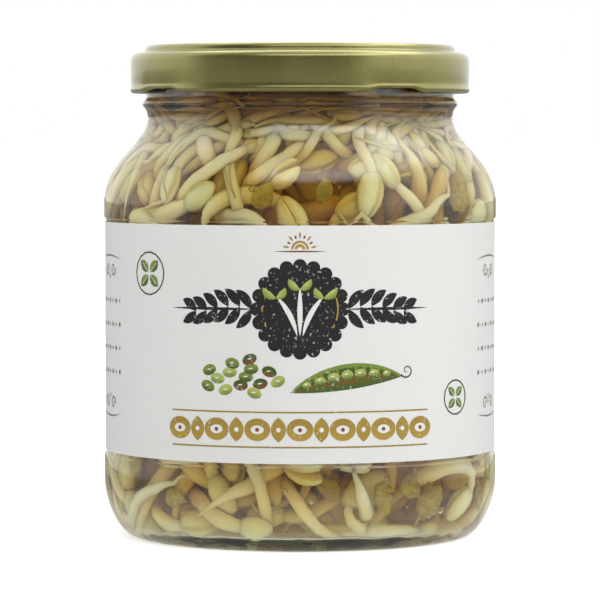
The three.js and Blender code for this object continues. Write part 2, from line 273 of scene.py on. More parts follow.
def settle_place(piece: Piece, name: str) -> Piece:
    """Names a piece and moves its place, turn and scale into its mesh.

    Args:
        piece: The piece.
        name: Its new name.

    Returns:
        The same piece.
    """
    make_active(piece)
    bpy.ops.object.transform_apply(location=True, rotation=True, scale=True)
    piece.name = piece.data.name = name
    return piece


def turn_profile(name: str, profile: Profile, steps: int, degrees: float = 360.0) -> Piece:
    """Draws a profile point by point and spins it about Z.

    Args:
        name: Name of the new piece.
        profile: Radius and height of each point in millimetres.
        steps: Number of steps in the spin.
        degrees: Angle of the spin.

    Returns:
        The new piece.
    """
    deselect()
    bpy.ops.mesh.primitive_plane_add(size=MM, location=(profile[0][0] * MM, 0, profile[0][1] * MM))
    piece = bpy.context.active_object
    with editing():
        bpy.ops.mesh.merge(type="CENTER")
        for (r0, z0), (r1, z1) in zip(profile, profile[1:]):
            step = ((r1 - r0) * MM, 0, (z1 - z0) * MM)
            bpy.ops.mesh.extrude_vertices_move(TRANSFORM_OT_translate={"value": step})
        bpy.ops.mesh.select_all(action="SELECT")
        bpy.ops.mesh.spin(steps=steps, angle=math.radians(degrees), center=(0, 0, 0), axis=(0, 0, 1))
        bpy.ops.mesh.select_all(action="SELECT")
        bpy.ops.mesh.remove_doubles(threshold=1e-6)
        bpy.ops.mesh.normals_make_consistent(inside=False)
    return settle_place(piece, name)


def points_of(piece: Piece) -> Array:
    """The vertices of a piece in millimetres, one row each.

    Args:
        piece: The piece.

    Returns:
        Its points.
    """
    flat = np.empty(3 * len(piece.data.vertices))
    piece.data.vertices.foreach_get("co", flat)
    return flat.reshape(-1, 3) / MM


def set_points(piece: Piece, points: Array) -> None:
    """Puts the vertices of a piece at the given places in millimetres."""
    piece.data.vertices.foreach_set("co", (points * MM).astype(np.float32).ravel())
    piece.data.update()


def set_values(piece: Piece, tint: Array, grain: Array) -> None:
    """Stores the tint and the grain of every point as attributes of the mesh.

    Args:
        piece: The piece.
        tint: Three values for each point.
        grain: Three more for each point.
    """
    rgba = np.concatenate([tint, np.ones((len(tint), 1))], 1)
    colours = piece.data.color_attributes.new("tint", "FLOAT_COLOR", "POINT")
    colours.data.foreach_set("color", rgba.astype(np.float32).ravel())
    vectors = piece.data.attributes.new("grain", "FLOAT_VECTOR", "POINT")
    vectors.data.foreach_set("vector", grain.astype(np.float32).ravel())


def smooth(piece: Piece, degrees: float = 40.0) -> None:
    """Shades a piece smooth where its faces meet at less than an angle.

    Args:
        piece: The piece.
        degrees: The angle.
    """
    make_active(piece)
    bpy.ops.object.shade_smooth_by_angle(angle=math.radians(degrees))
    deselect()


def finish_piece(piece: Piece, body: str, material: Material, nodes: Sequence[str] = ()) -> Piece:
    """Dresses a piece and ties it to the frame.

    Args:
        piece: The finished mesh.
        body: The body that it rides on.
        material: Its material.
        nodes: The solids that it stands for.

    Returns:
        The same piece.
    """
    piece.data.materials.clear()
    piece.data.materials.append(material)
    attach(piece, body)
    if nodes:
        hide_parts(*nodes)
    LOG.info("%s: %d faces", piece.name, len(piece.data.polygons))
    return piece


# ---- Shader tools


class Sheet:
    """The node sheet of one material or world, with short calls to add and join nodes."""

    def __init__(self, owner: Material | bpy.types.World | str) -> None:
        """Empties the sheet of a world, or of a new material by name.

        Args:
            owner: The world, or the name of the new material.
        """
        self.owner = bpy.data.materials.new(owner) if isinstance(owner, str) else owner
        self.owner.use_nodes = True
        self.tree = self.owner.node_tree
        self.tree.nodes.clear()
        kind = "Material" if isinstance(owner, str) else "World"
        self.output = self.add(f"ShaderNodeOutput{kind}")

    def add(self, kind: str, inputs: dict | None = None, **settings: object) -> bpy.types.Node:
        """Adds a node.

        Args:
            kind: The node's type.
            inputs: Values or sockets for its inputs, by name or number.
            settings: The node's own settings.

        Returns:
            The new node.
        """
        node = self.tree.nodes.new(kind)
        for key, value in settings.items():
            setattr(node, key, value)
        for key, value in (inputs or {}).items():
            if isinstance(value, Socket):
                self.tree.links.new(value, node.inputs[key])
            else:
                node.inputs[key].default_value = value
        return node

    def place(self, scale: Way = (1, 1, 1)) -> Socket:
        """Object coordinates, scaled."""
        where = self.add("ShaderNodeTexCoord").outputs["Object"]
        return self.add("ShaderNodeMapping", {"Vector": where, "Scale": scale}).outputs["Vector"]

    def noise(
        self, scale: float, detail: float, stretch: Way = (1, 1, 1), where: Socket | None = None
    ) -> Socket:
        """The strength of a noise pattern, on stretched object coordinates unless others are given."""
        inputs = {"Vector": where or self.place(stretch), "Scale": scale, "Detail": detail}
        return self.add("ShaderNodeTexNoise", inputs).outputs["Fac"]

    def ramp(self, value: Socket, *stops: tuple[float, Colour]) -> Socket:
        """Colours picked along a ramp by a value.

        Args:
            value: The value.
            stops: Place and colour of each stop.

        Returns:
            The colour.
        """
        node = self.add("ShaderNodeValToRGB", {"Fac": value})
        while len(node.color_ramp.elements) < len(stops):
            node.color_ramp.elements.new(0.5)
        for element, (place, colour) in zip(node.color_ramp.elements, stops):
            element.position = place
            element.color = (*colour, 1)
        return node.outputs["Color"]

    def fade(self, value: Socket, limits: Pair, ends: Pair, interpolation: str = "LINEAR") -> Socket:
        """A value carried from between two limits to between two ends."""
        inputs = dict(zip(("Value", "From Min", "From Max", "To Min", "To Max"), (value, *limits, *ends)))
        return self.add("ShaderNodeMapRange", inputs, interpolation_type=interpolation).outputs[0]

    def mix(
        self, share: Socket | float, first: Socket | Colour, second: Socket | Colour, blend: str = "MIX"
    ) -> Socket:
        """A mix of two colours.

        Args:
            share: How far the second counts.
            first: The first colour.
            second: The second colour.
            blend: How the second is laid on the first.

        Returns:
            The mixed colour.
        """
        pair = [value if isinstance(value, Socket) else (*value, 1) for value in (first, second)]
        inputs = {0: share, 6: pair[0], 7: pair[1]}
        return self.add("ShaderNodeMix", inputs, data_type="RGBA", blend_type=blend).outputs[2]

    def math(self, operation: str, *values: Socket | float) -> Socket:
        """A sum, product or other operation on values."""
        return self.add("ShaderNodeMath", dict(enumerate(values)), operation=operation).outputs[0]

    def total(self, *parts: tuple[Socket, Socket | float]) -> Socket:
        """The sum of values, each times its own weight.

        Args:
            parts: Each value with its weight.

        Returns:
            The sum.
        """
        result: Socket | float = 0.0
        for value, weight in parts:
            result = self.math("MULTIPLY_ADD", value, weight, result)
        return result

    def bump(self, height: Socket, distance: float) -> Socket:
        """A bumped normal, with its distance in metres."""
        inputs = {"Height": height, "Distance": distance, "Strength": 1.0}
        return self.add("ShaderNodeBump", inputs).outputs["Normal"]

    def shade(self, shader: bpy.types.Node, socket: str = "Surface") -> Material:
        """Joins a shader to the output and gives the finished material."""
        self.tree.links.new(shader.outputs[0], self.output.inputs[socket])
        return self.owner

    def dress(self, colour: Socket, normal: Socket, inputs: dict) -> Material:
        """Finishes a material from its colour, its normal and the shader's other inputs."""
        inputs = {"Base Color": colour, "Normal": normal, **inputs}
        return self.shade(self.add("ShaderNodeBsdfPrincipled", inputs))

    def absorb(self, colour: Colour, density: float) -> None:
        """Tints the depth of a clear material."""
        inputs = {"Color": (*colour, 1), "Density": density}
        self.shade(self.add("ShaderNodeVolumeAbsorption", inputs), "Volume")

    def clear(self, tint: Colour, ior: float, normal: Socket) -> Material:
        """Finishes a clear material that lamps shine through without being bent.

        Args:
            tint: Colour of the light that passes.
            ior: Index of refraction.
            normal: The bumped normal.

        Returns:
            The finished material.
        """
        inputs = {"Base Color": (*tint, 1), "Roughness": 0.0, "IOR": ior, "Transmission Weight": 1.0}
        shader = self.add("ShaderNodeBsdfPrincipled", inputs | {"Normal": normal})
        shadow = self.add("ShaderNodeLightPath").outputs["Is Shadow Ray"]
        through = self.add("ShaderNodeBsdfTransparent", {"Color": (0.985, 0.98, 0.97, 1)})
        both = {0: shadow, 1: shader.outputs[0], 2: through.outputs[0]}
        return self.shade(self.add("ShaderNodeMixShader", both))


# ---- Finishes


@dataclass(frozen=True)
class GlassFinish:
    """Clear moulded glass, a little green, with faint waves from the mould."""

    tint: Colour = (0.985, 0.988, 0.975)
    ior: float = 1.5
    wave: float = 0.0005
    thick_tint: Colour = (0.80, 0.88, 0.50)
    density: float = 34.0

    def material(self) -> Material:
        """Makes the glass material.

        Returns:
            The finished material.
        """
        sheet = Sheet("clear_glass")
        wide, fine = sheet.noise(70, 2, (1, 1, 0.5)), sheet.noise(260, 2, (1, 1, 0.6))
        sheet.absorb(self.thick_tint, self.density)
        waves = sheet.total((wide, 1.0), (fine, 0.16))
        return sheet.clear(self.tint, self.ior, sheet.bump(waves, self.wave))


@dataclass(frozen=True)
class BrineFinish:
    """Clear brine with a straw tint that deepens with distance."""

    ior: float = 1.34
    colour: Colour = (0.975, 0.83, 0.3)
    density: float = 98.0
    ripple: float = 0.00002

    def material(self) -> Material:
        """Makes the brine material.

        Returns:
            The finished material.
        """
        sheet = Sheet("brine")
        sheet.absorb(self.colour, self.density)
        return sheet.clear(WHITE, self.ior, sheet.bump(sheet.noise(160, 1), self.ripple))


@dataclass(frozen=True)
class BubbleFinish:
    """Air in the brine: the light bends the other way at its skin."""

    ior: float = 0.746
    ripple: float = 0.000004

    def material(self) -> Material:
        """Makes the bubble material.

        Returns:
            The finished material.
        """
        sheet = Sheet("air_bubble")
        return sheet.clear(WHITE, self.ior, sheet.bump(sheet.noise(2500, 1), self.ripple))


@dataclass(frozen=True)
class TinplateFinish:
    """Satin gold lacquer over tinplate, with fine scratches and a soft mottle."""

    colour: Colour = (0.345, 0.325, 0.112)
    shade: Colour = (0.29, 0.27, 0.088)
    smoothest: float = 0.2
    scratch: float = 0.00001

    def material(self) -> Material:
        """Makes the lacquered tinplate material.

        Returns:
            The finished material.
        """
        sheet = Sheet("lid_tinplate")
        grain = sheet.total((sheet.noise(140, 4), 0.6), (sheet.noise(200, 4, (1, 30, 1)), 0.4))
        colour = sheet.ramp(grain, (0.35, self.shade), (0.65, self.colour))
        rough = sheet.math("MULTIPLY_ADD", grain, 0.22, self.smoothest)
        coat = {"Metallic": 0.92, "Roughness": rough, "Coat Weight": 0.6, "Coat Roughness": 0.12}
        return sheet.dress(colour, sheet.bump(grain, self.scratch), coat)


@dataclass(frozen=True)
class CompoundFinish:
    """The pale, slightly waxy sealing compound in the lid."""

    colour: Colour = (0.72, 0.66, 0.52)
    shade: Colour = (0.612, 0.561, 0.442)

    def material(self) -> Material:
        """Makes the sealing compound material.

        Returns:
            The finished material.
        """
        sheet = Sheet("lid_compound")
        grain = sheet.noise(900, 3)
        colour = sheet.ramp(grain, (0.3, self.shade), (0.7, self.colour))
        return sheet.dress(colour, sheet.bump(grain, 0.00002), {"Roughness": 0.55})


@dataclass(frozen=True)
class PaperFinish:
    """Coated white label paper with a fine fibre grain."""

    colour: Colour = (0.53, 0.535, 0.518)
    shade: Colour = (0.508, 0.513, 0.497)

    def material(self) -> Material:
        """Makes the paper material.

        Returns:
            The finished material.
        """
        sheet = Sheet("label_paper")
        fibre = sheet.noise(1800, 5, (1, 1, 0.4))
        grain = sheet.total((fibre, 0.6), (sheet.noise(60, 2), 0.4))
        colour = sheet.ramp(grain, (0.3, self.shade), (0.7, self.colour))
        return sheet.dress(colour, sheet.bump(fibre, 0.000012), {"Roughness": 0.5})


class Ink(Enum):
    """Colours that the label is printed in."""

    CHARCOAL = (0.016, 0.015, 0.016)
    GREY = (0.13, 0.125, 0.12)
    OCHRE = (0.25, 0.165, 0.028)
    GOLD = (0.29, 0.20, 0.033)
    BROWN = (0.14, 0.05, 0.018)
    GREEN = (0.045, 0.075, 0.012)
    POD = (0.13, 0.18, 0.03)
    LIME = (0.27, 0.32, 0.075)
    BARE = (0.535, 0.533, 0.517)


@dataclass(frozen=True)
class PrintFinish:
    """Printing ink, whose colour each point of the print carries, with worn specks."""

    worn: Colour = (0.51, 0.505, 0.49)
    wear: float = 0.6

    def material(self) -> Material:
        """Makes the print material.

        Returns:
            The finished material.
        """
        sheet = Sheet("print_ink")
        specks = sheet.noise(1700, 4)
        share = sheet.ramp(specks, (0.3, (self.wear,) * 3), (0.38, (0, 0, 0)))
        ink = sheet.add("ShaderNodeAttribute", attribute_name="tint").outputs["Color"]
        colour = sheet.mix(share, ink, self.worn)
        matt = {"Roughness": 0.5, "Specular IOR Level": 0.2}
        return sheet.dress(colour, sheet.bump(specks, 0.000008), matt)


@dataclass(frozen=True)
class SeedCoatFinish:
    """The thin, wrinkled olive coat that a sprouting bean sheds."""

    colour: Colour = (0.72, 0.54, 0.10)
    shade: Colour = (0.46, 0.32, 0.035)
    glow: Colour = (1.0, 0.7, 0.25)

    def material(self) -> Material:
        """Makes the seed coat material.

        Returns:
            The finished material.
        """
        sheet = Sheet("seed_coat")
        wrinkle = sheet.noise(700, 4, (1, 1, 2.5))
        colour = sheet.ramp(wrinkle, (0.3, self.shade), (0.7, self.colour))
        skin = {"Roughness": 0.3, "IOR": 1.4, "Specular IOR Level": 0.1}
        skin |= {"Transmission Weight": 0.45}
        skin |= {"Subsurface Weight": 0.6, "Subsurface Radius": self.glow, "Subsurface Scale": 0.002}
        return sheet.dress(colour, sheet.bump(wrinkle, 0.0001), skin)


@dataclass(frozen=True)
class FleshFinish:
    """Moist flesh of the stems and seed leaves.

    The attribute named tint holds, in its channels, how far along the sprout a point is (on the seed leaves,
    lower on the flat inner faces to paint shade into the seam), the sprout's own tone, and the share of
    painted shade. The one named grain runs along each stem.
    """

    name: str
    root: Colour
    middle: Colour
    tip: Colour
    # Painted shade colours: a dark ochre for sprouts in shade inside the bunch, and a darkening for the lid's
    # shadow in the neck.
    painted_shade: Colour = (0.64, 0.385, 0.05)
    painted_lid_shadow: Colour = (0.42, 0.30, 0.13)
    painted_lid_shadow_z: Pair = (0.0805, 0.0865)
    darkest_tone: float = 0.84
    tone_weight: float = 0.65
    glow: Colour = (1.0, 0.7, 0.3)
    scatter: float = 0.8
    scatter_scale: float = 0.0055

    def material(self) -> Material:
        """Makes the flesh material.

        Returns:
            The finished material.
        """
        sheet = Sheet(self.name)
        tint, grain = (sheet.add("ShaderNodeAttribute", attribute_name=name) for name in ("tint", "grain"))
        channels = sheet.add("ShaderNodeSeparateColor", {"Color": tint.outputs["Color"]})
        along, tone, depth = (channels.outputs[i] for i in range(3))
        streaks = sheet.noise(2.4, 4, where=grain.outputs["Vector"])
        stops = (0.0, self.root), (0.3, self.middle), (0.85, self.middle), (1.0, self.tip)
        colour = sheet.ramp(along, *stops)
        darkest = tuple(self.darkest_tone * c for c in self.tip)
        toned = sheet.mix(sheet.total((tone, 0.6), (streaks, 0.7)), darkest, WHITE)
        colour = sheet.mix(self.tone_weight, colour, toned, "MULTIPLY")
        # Painted shade: the third tint channel blends in a dark ochre away from the glass, on sides turned
        # inwards and in the neck.
        colour = sheet.mix(depth, colour, self.painted_shade)
        # Painted shadow of the lid: above the fill height the colour is multiplied darker.
        height = sheet.add("ShaderNodeSeparateXYZ", {0: sheet.place()}).outputs[2]
        above = sheet.fade(height, self.painted_lid_shadow_z, (0.0, 1.0))
        colour = sheet.mix(above, colour, self.painted_lid_shadow, "MULTIPLY")
        fibres = sheet.total((streaks, 1.0), (sheet.noise(1500, 3), 0.4))
        skin = {"Roughness": 0.4, "Specular IOR Level": 0.05, "Subsurface Weight": self.scatter}
        skin |= {"Subsurface Radius": self.glow, "Subsurface Scale": self.scatter_scale}
        return sheet.dress(colour, sheet.bump(fibres, 0.00008), skin)


# ---- Glass jar


@dataclass
class GlassJar:
    """The moulded glass jar, with its threads, bead, label panel and foot."""

    steps: int = 192
    finish_rows: int = 27
    thread_end_deg: float = 4.0
    seam_height: float = 0.05

    def rounds(self) -> tuple[Profile, Profile]:
        """The heel and the shoulder of the outside.

        Returns:
            Points of the heel, and points of the shoulder.
        """
        s = SIZES
        low = heel(s.foot_outer_r, s.body_r, 0, s.heel_height, 18)
        return low, shoulder(s.body_r, s.shoulder_start, s.neck_r, s.shoulder_end, 26)

    def profile(self) -> Profile:
        """The closed outline of the glass, outside then inside.

        Returns:
            The points, from the middle of the foot round to the middle of the floor.
        """
        s = SIZES
        low, high = self.rounds()
        push_up = ((0.0, 1.0), (0.4, 0.93), (0.75, 0.7), (0.93, 0.45))
        foot = [(out * s.foot_inner_r, up * s.push_up) for out, up in push_up]
        foot += [(s.foot_inner_r - 0.3, 0.12), (s.foot_inner_r, 0.0)]
        panel = [(s.body_r, s.panel_bottom - s.panel_edge), (s.body_r - 0.12, s.panel_bottom - 0.3)]
        panel += [(s.panel_r, s.panel_bottom), (s.panel_r, s.panel_top)]
        panel += [(s.body_r - 0.12, s.panel_top + 0.3), (s.body_r, s.panel_top + s.panel_edge)]
        neck = [(s.neck_r + 0.08, s.shoulder_end + 0.9), (s.neck_r + 0.3, s.shoulder_end + 1.6)]
        neck += corner(s.bead_r - 0.9, s.bead_z, 0.9, -50, 60, 8) + [(s.finish_r + 0.04, s.bead_z + 1.1)]
        finish = [(s.finish_r, s.bead_z + 1.3 + 0.3 * i) for i in range(self.finish_rows)]
        rim = corner(s.finish_r - s.rim_round, s.rim_z - s.rim_round, s.rim_round, 8, 172, 10)
        rim.append((s.mouth_r, s.rim_z - s.rim_round))
        return foot + low + panel + high + neck + finish + rim + hollow_profile(0.0, 22)[::-1]

    def raise_threads(self, glass: Piece) -> None:
        """Raises the threads out of the finish and a fine mould seam down the sides.

        Args:
            glass: The spun glass.
        """
        s = SIZES
        points = points_of(glass)
        height = points[:, 2]
        radius, angle = polar(points)
        lift = np.zeros(len(points))
        for turn in s.turns_from_lugs(angle):
            middle = s.lug_top + s.thread_gap + s.thread_height / 2 + s.open_rise * turn / s.open_turn_deg
            across = np.abs(height - middle) / (s.thread_height / 2 + 0.1)
            begun = np.clip((turn + s.thread_lead_in_deg) / self.thread_end_deg, 0, 1)
            ends = begun * np.clip((s.thread_run_deg - turn) / self.thread_end_deg, 0, 1)
            lift += (s.thread_r - s.finish_r) * ends * np.clip(1.25 - across**3, 0, 1)
        finish = (radius > s.finish_r - 0.02) & (height > s.bead_z + 1.2)
        body = (radius > s.neck_r - 1) & (height > 3) & (height < s.shoulder_end)
        body &= (height < s.panel_bottom - 0.6) | (height > s.panel_top + 0.6)
        body &= radius > radius_at(sum(self.rounds(), []), height) - 0.3
        seam = self.seam_height * np.exp(-((np.abs(np.abs(angle) - 90) - 90) ** 2) / 2.0)
        raised = np.where(finish, lift, np.where(body, seam, 0))
        points[:, :2] *= (1 + raised / np.maximum(radius, 1))[:, None]
        set_points(glass, points)

    def build(self) -> Piece:
        """Builds and dresses the jar.

        Returns:
            The finished jar.
        """
        glass = turn_profile("glass_jar", self.profile(), self.steps)
        self.raise_threads(glass)
        smooth(glass, 50)
        return finish_piece(glass, "jar", GlassFinish().material(), ["jar_glass"])


# ---- Lid


@dataclass
class TwistOffLid:
    """The drawn tinplate lid, with its raised ring, button, rolled edge and lugs."""

    steps: int = 192
    edge_round: float = 1.6
    edge_drop: float = 3.2
    lug_zone: float = 0.9

    def profile(self) -> Profile:
        """The closed outline of the sheet, outside then inside.

        Returns:
            The points, from the middle of the top round to the middle underneath.
        """
        s = SIZES
        ring_r = s.finish_r - s.rim_round
        top, panel, sheet = s.lid_top, s.lid_panel_z, s.lid_sheet
        button = panel - s.button_drop
        edge_r, edge_z = s.lid_r - self.edge_round, top - self.edge_drop
        outside = [(0.0, button), (0.8 * s.button_r, button)]
        outside += corner(s.button_r - 1.2, button + 0.35, 0.35, -90, -30, 3)
        outside += corner(s.button_r + 0.3, panel - 0.35, 0.35, 150, 90, 3)
        outside += [(s.button_r + 4, panel), (ring_r - 5, panel), (ring_r - 2.3, panel)]
        outside += corner(ring_r - 2.1, panel + 0.35, 0.35, -70, -20, 3)
        outside += corner(ring_r - 0.75, top - 0.65, 0.65, 165, 90, 5)
        outside += corner(ring_r + 0.4, top - 1.1, 1.1, 75, 0, 7)
        outside += [(ring_r + 1.6, top - 1.28), (ring_r + 2.1, top - 1.42)]
        outside += corner(edge_r, edge_z, self.edge_round, 78, 0, 9)
        outside += [(s.lid_r - back, s.curl_z + up) for back, up in ((0.0, 4), (0.02, 2), (0.07, 1.1))]
        curl = corner(s.lid_r + 0.1 - s.curl_r, s.curl_z, s.curl_r, 38, -215, 22)
        inside = [(s.lid_r - sheet - 0.1, s.curl_z + s.curl_r + 0.35), (s.lid_r - sheet, s.curl_z + 2.4)]
        inside += corner(edge_r, edge_z, self.edge_round - sheet, 0, 78, 8)
        inside += [(ring_r + 2.0, top - 1.45 - sheet)]
        inside += corner(ring_r + 0.4, top - 1.1, 1.1 - sheet, 0, 75, 6)
        inside += corner(ring_r - 0.75, top - 0.65, 0.65 - sheet, 90, 165, 4)
        inside += [(ring_r - 1.6, panel - sheet), (s.button_r + 0.3, panel - sheet)]
        inside += [(s.button_r - 1.0, button - sheet), (0.0, button - sheet)]
        return outside + curl + inside

    def press_lugs(self, lid: Piece) -> None:
        """Presses the four lugs: the rolled edge flattens, goes in and up over each one.

        Args:
            lid: The spun lid.
        """
        s = SIZES
        points = points_of(lid)
        radius, angle = polar(points)
        near = ease((s.curl_z + s.curl_r + self.lug_zone - points[:, 2]) / self.lug_zone)
        inward = np.clip((s.lid_r - 0.5 - radius) / 0.9, 0, 1)
        spread = s.lug_width_deg / 2 + 1.5
        for turn in s.turns_from_lugs(angle):
            press = ease((spread + 3.5 - np.abs(turn)) / 5.0) * near
            points[:, :2] *= (1 - press * (0.25 + 0.95 * inward) / radius.clip(1))[:, None]
            points[:, 2] += press * (0.5 - 0.75 * (points[:, 2] - s.curl_z) / s.curl_r * 0.35)
        set_points(lid, points)

    def build(self) -> Piece:
        """Builds and dresses the lid.

        Returns:
            The finished lid.
        """
        lid = turn_profile("twist_off_lid", self.profile(), self.steps)
        self.press_lugs(lid)
        smooth(lid, 60)
        return finish_piece(lid, "lid", TinplateFinish().material(), ["lid"])


@dataclass
class LidSeal:
    """The ring of sealing compound in the lid's channel."""

    inner_r: float = 29.35
    outer_r: float = 30.4
    bottom: float = 98.55
    height: float = 0.4
    soft_edge: float = 0.1
    steps: int = 144

    def build(self) -> Piece:
        """Builds and dresses the seal.

        Returns:
            The finished seal.
        """
        middle, top = (self.inner_r + self.outer_r) / 2, self.bottom + self.height
        low, high = self.bottom + self.soft_edge, top - self.soft_edge
        section = [(self.inner_r, low), (middle, self.bottom), (self.outer_r, low), (self.outer_r, high)]
        section += [(middle, top), (self.inner_r, high), (self.inner_r, low)]
        ring = turn_profile("sealing_ring", section, self.steps)
        smooth(ring, 60)
        return finish_piece(ring, "seal", CompoundFinish().material(), ["lid_seal"])


# ---- Brine


@dataclass
class Brine:
    """The brine that fills the jar up to the neck."""

    sunk: float = 0.04
    creep: tuple[Point, ...] = ((0.0, 0.9), (0.25, 0.5), (0.8, 0.18), (1.8, 0.03))
    steps: int = 160

    def build(self) -> Piece:
        """Builds and dresses the brine, a little sunk into the glass so that no film of air shows.

        Returns:
            The finished brine.
        """
        level = SIZES.fill_z
        side = [p for p in hollow_profile(-self.sunk, 22) if p[1] < level]
        edge_r = float(radius_at(hollow_profile(-self.sunk, 60)[5:], level))
        surface = [(edge_r - back, level + up) for back, up in self.creep]
        surface += [(share * edge_r, level) for share in (0.7, 0.35, 0.0)]
        brine = turn_profile("brine_fill", side + surface, self.steps)
        smooth(brine, 60)
        return finish_piece(brine, "jar", BrineFinish().material(), ["brine"])


# ---- Sprouts


def side_of(way: Array, rng: np.random.Generator) -> Array:
    """A direction at random across another, or across each row of them."""
    return unit(np.cross(way, rng.normal(size=way.shape)))


@dataclass
class SproutPacking:
    """Settles loose sprouts in the jar, each a chain of balls that bends as a stem does.

    The first balls of a chain are the root, the next are the stem and the last three the seed leaves.
    """

    count: int = 520
    balls: int = 15
    seed: int = 11
    rounds: int = 120
    core_r: float = 22.0
    core_bottom: float = 12.0
    core_top: float = 79.0
    plug_r: float = 25.5
    plug_top: float = 90.0
    top: float = 89.5
    head_step: float = 2.5
    stem_length: Pair = (20.0, 46.0)
    stem_r: Pair = (1.05, 1.7)
    squeeze: float = 0.93
    upper_share: float = 0.1
    upper_from: float = 78.0
    lying_from: float = 0.93
    lying_z: Pair = (4.5, 7.5)
    spread_r: float = 36.0
    margin: float = 1.6
    block: int = 400
    search_every: int = 8
    firm_after: int = 60

    def __post_init__(self) -> None:
        """Draws the sizes of every sprout."""
        self.rng = rng = np.random.default_rng(self.seed)
        n, k = self.count, self.balls
        self.thick = rng.uniform(*self.stem_r, n)
        length = rng.uniform(*self.stem_length, n)
        self.steps = np.empty((n, k - 1))
        self.steps[:, :-2] = (length / (k - 3))[:, None]
        self.steps[:, -2:] = self.head_step
        share = np.array([0.2, 0.25, 0.35, 0.6, 0.85] + [1.0] * (k - 8))
        self.radii = np.empty((n, k))
        self.radii[:, :-3] = self.thick[:, None] * share
        self.head_size = 0.88 + 0.42 * rng.uniform(0, 1, n) ** 1.5
        self.radii[:, -3:] = self.head_size[:, None] * np.array([1.9, 2.25, 1.7])
        self.bend = rng.choice([0.01, 0.02, 0.045, 0.11], n, p=[0.35, 0.3, 0.2, 0.15])

    def start(self) -> Array:
        """Places every sprout at random in the jar as a curved line.

        Returns:
            The place of every ball, by sprout.
        """
        n, k, rng = self.count, self.balls, self.rng
        place = rng.uniform(size=n)
        low = place > self.lying_from
        upper, any_height = rng.uniform(self.upper_from, self.top, n), rng.uniform(8, self.top, n)
        height = np.where(place < self.upper_share, upper, any_height)
        height[low] = rng.uniform(*self.lying_z, low.sum())
        around = rng.uniform(0, 2 * math.pi, n)
        reach = np.sqrt(np.where(low, rng.uniform(0.0, 0.6, n), rng.uniform(0.3, 0.9, n))) * self.spread_r
        middle = np.stack([reach * np.cos(around), reach * np.sin(around), height], -1)
        first = rng.normal(size=(n, 3))
        first[low, 2] *= 0.05
        first = unit(first)
        side = side_of(first, rng)
        run = np.concatenate([np.zeros((n, 1)), np.cumsum(self.steps, 1)], 1)
        hook = rng.choice([0.0, 0.9, 1.9], n, p=[0.4, 0.35, 0.25])
        turn = self.bend[:, None] * run
        turn[:, :5] += rng.uniform(-1.6, 1.6, (n, 5)) * np.array([1, 0.8, 0.6, 0.3, 0.1])
        turn[:, -4:] += hook[:, None] * np.array([0.35, 0.8, 1.0, 1.0])
        line = np.zeros((n, k, 3))
        for i in range(1, k):
            way = np.cos(turn[:, i, None]) * first + np.sin(turn[:, i, None]) * side
            line[:, i] = line[:, i - 1] + self.steps[:, i - 1, None] * way
        return line - line.mean(1, keepdims=True) + middle[:, None]

    def pairs(self, points: Array, radii: Array) -> tuple[Array, Array]:
        """Balls of different sprouts, or far apart on one, that are near enough to meet.

        Args:
            points: Place of every ball.
            radii: Radius of every ball.

        Returns:
            The two balls of each pair, by number.
        """
        found = []
        order = np.argsort(points[:, 2])
        ranked, sizes = points[order], radii[order]
        square = (ranked**2).sum(1)
        widest = 2 * radii.max() + self.margin
        for begin in range(0, len(points), self.block):
            block = slice(begin, min(begin + self.block, len(points)))
            above = slice(begin, np.searchsorted(ranked[:, 2], ranked[block.stop - 1, 2] + widest))
            apart = square[block, None] + square[None, above] - 2 * ranked[block] @ ranked[above].T
            a, b = np.nonzero(apart < (sizes[block, None] + sizes[None, above] + self.margin) ** 2)
            keep = a < b
            a, b = order[a[keep] + begin], order[b[keep] + begin]
            meet = (a // self.balls != b // self.balls) | (np.abs(a - b) > 3)
            found.append((a[meet], b[meet]))
        firsts, seconds = zip(*found)
        return np.concatenate(firsts), np.concatenate(seconds)

    def hold_in(self, points: Array, radii: Array, limit: Array) -> None:
        """Keeps every ball inside the glass, off the core and under its own highest height.

        Args:
            points: Place of every ball, which is changed.
            radii: Radius of every ball.
            limit: Highest height of every ball.
        """
        np.clip(points[:, 2], SIZES.floor + radii, limit - radii, out=points[:, 2])
        rows = hollow_profile(0.12, 40)[2:]
        reach = np.hypot(points[:, 0], points[:, 1]).clip(0.01)
        wall = np.minimum(*(radius_at(rows, points[:, 2] + up * radii) for up in (-0.7, 0.7)))
        wanted = np.minimum(reach, wall - radii)
        core = (points[:, 2] > self.core_bottom) & (points[:, 2] < self.core_top)
        wanted = np.where(core, np.maximum(wanted, self.core_r), wanted)
        points[:, :2] *= (wanted / reach)[:, None]

    def keep_lengths(self, line: Array, gap: int, lengths: Array, share: float) -> None:
        """Moves balls a gap apart on each sprout towards their right distance.

        Args:
            line: Place of every ball, by sprout, which is changed.
            gap: How many balls on the second of a pair is.
            lengths: Right distance of each pair.
            share: How much of what is wrong is put right.
        """
        for begin in range(2 * gap):
            a = np.arange(begin, self.balls - gap, 2 * gap)
            if not len(a):
                continue
            apart = line[:, a + gap] - line[:, a]
            size = np.linalg.norm(apart, axis=2, keepdims=True).clip(1e-6)
            fix = 0.5 * share * (size - lengths[:, a, None]) / size * apart
            line[:, a] += fix
            line[:, a + gap] -= fix

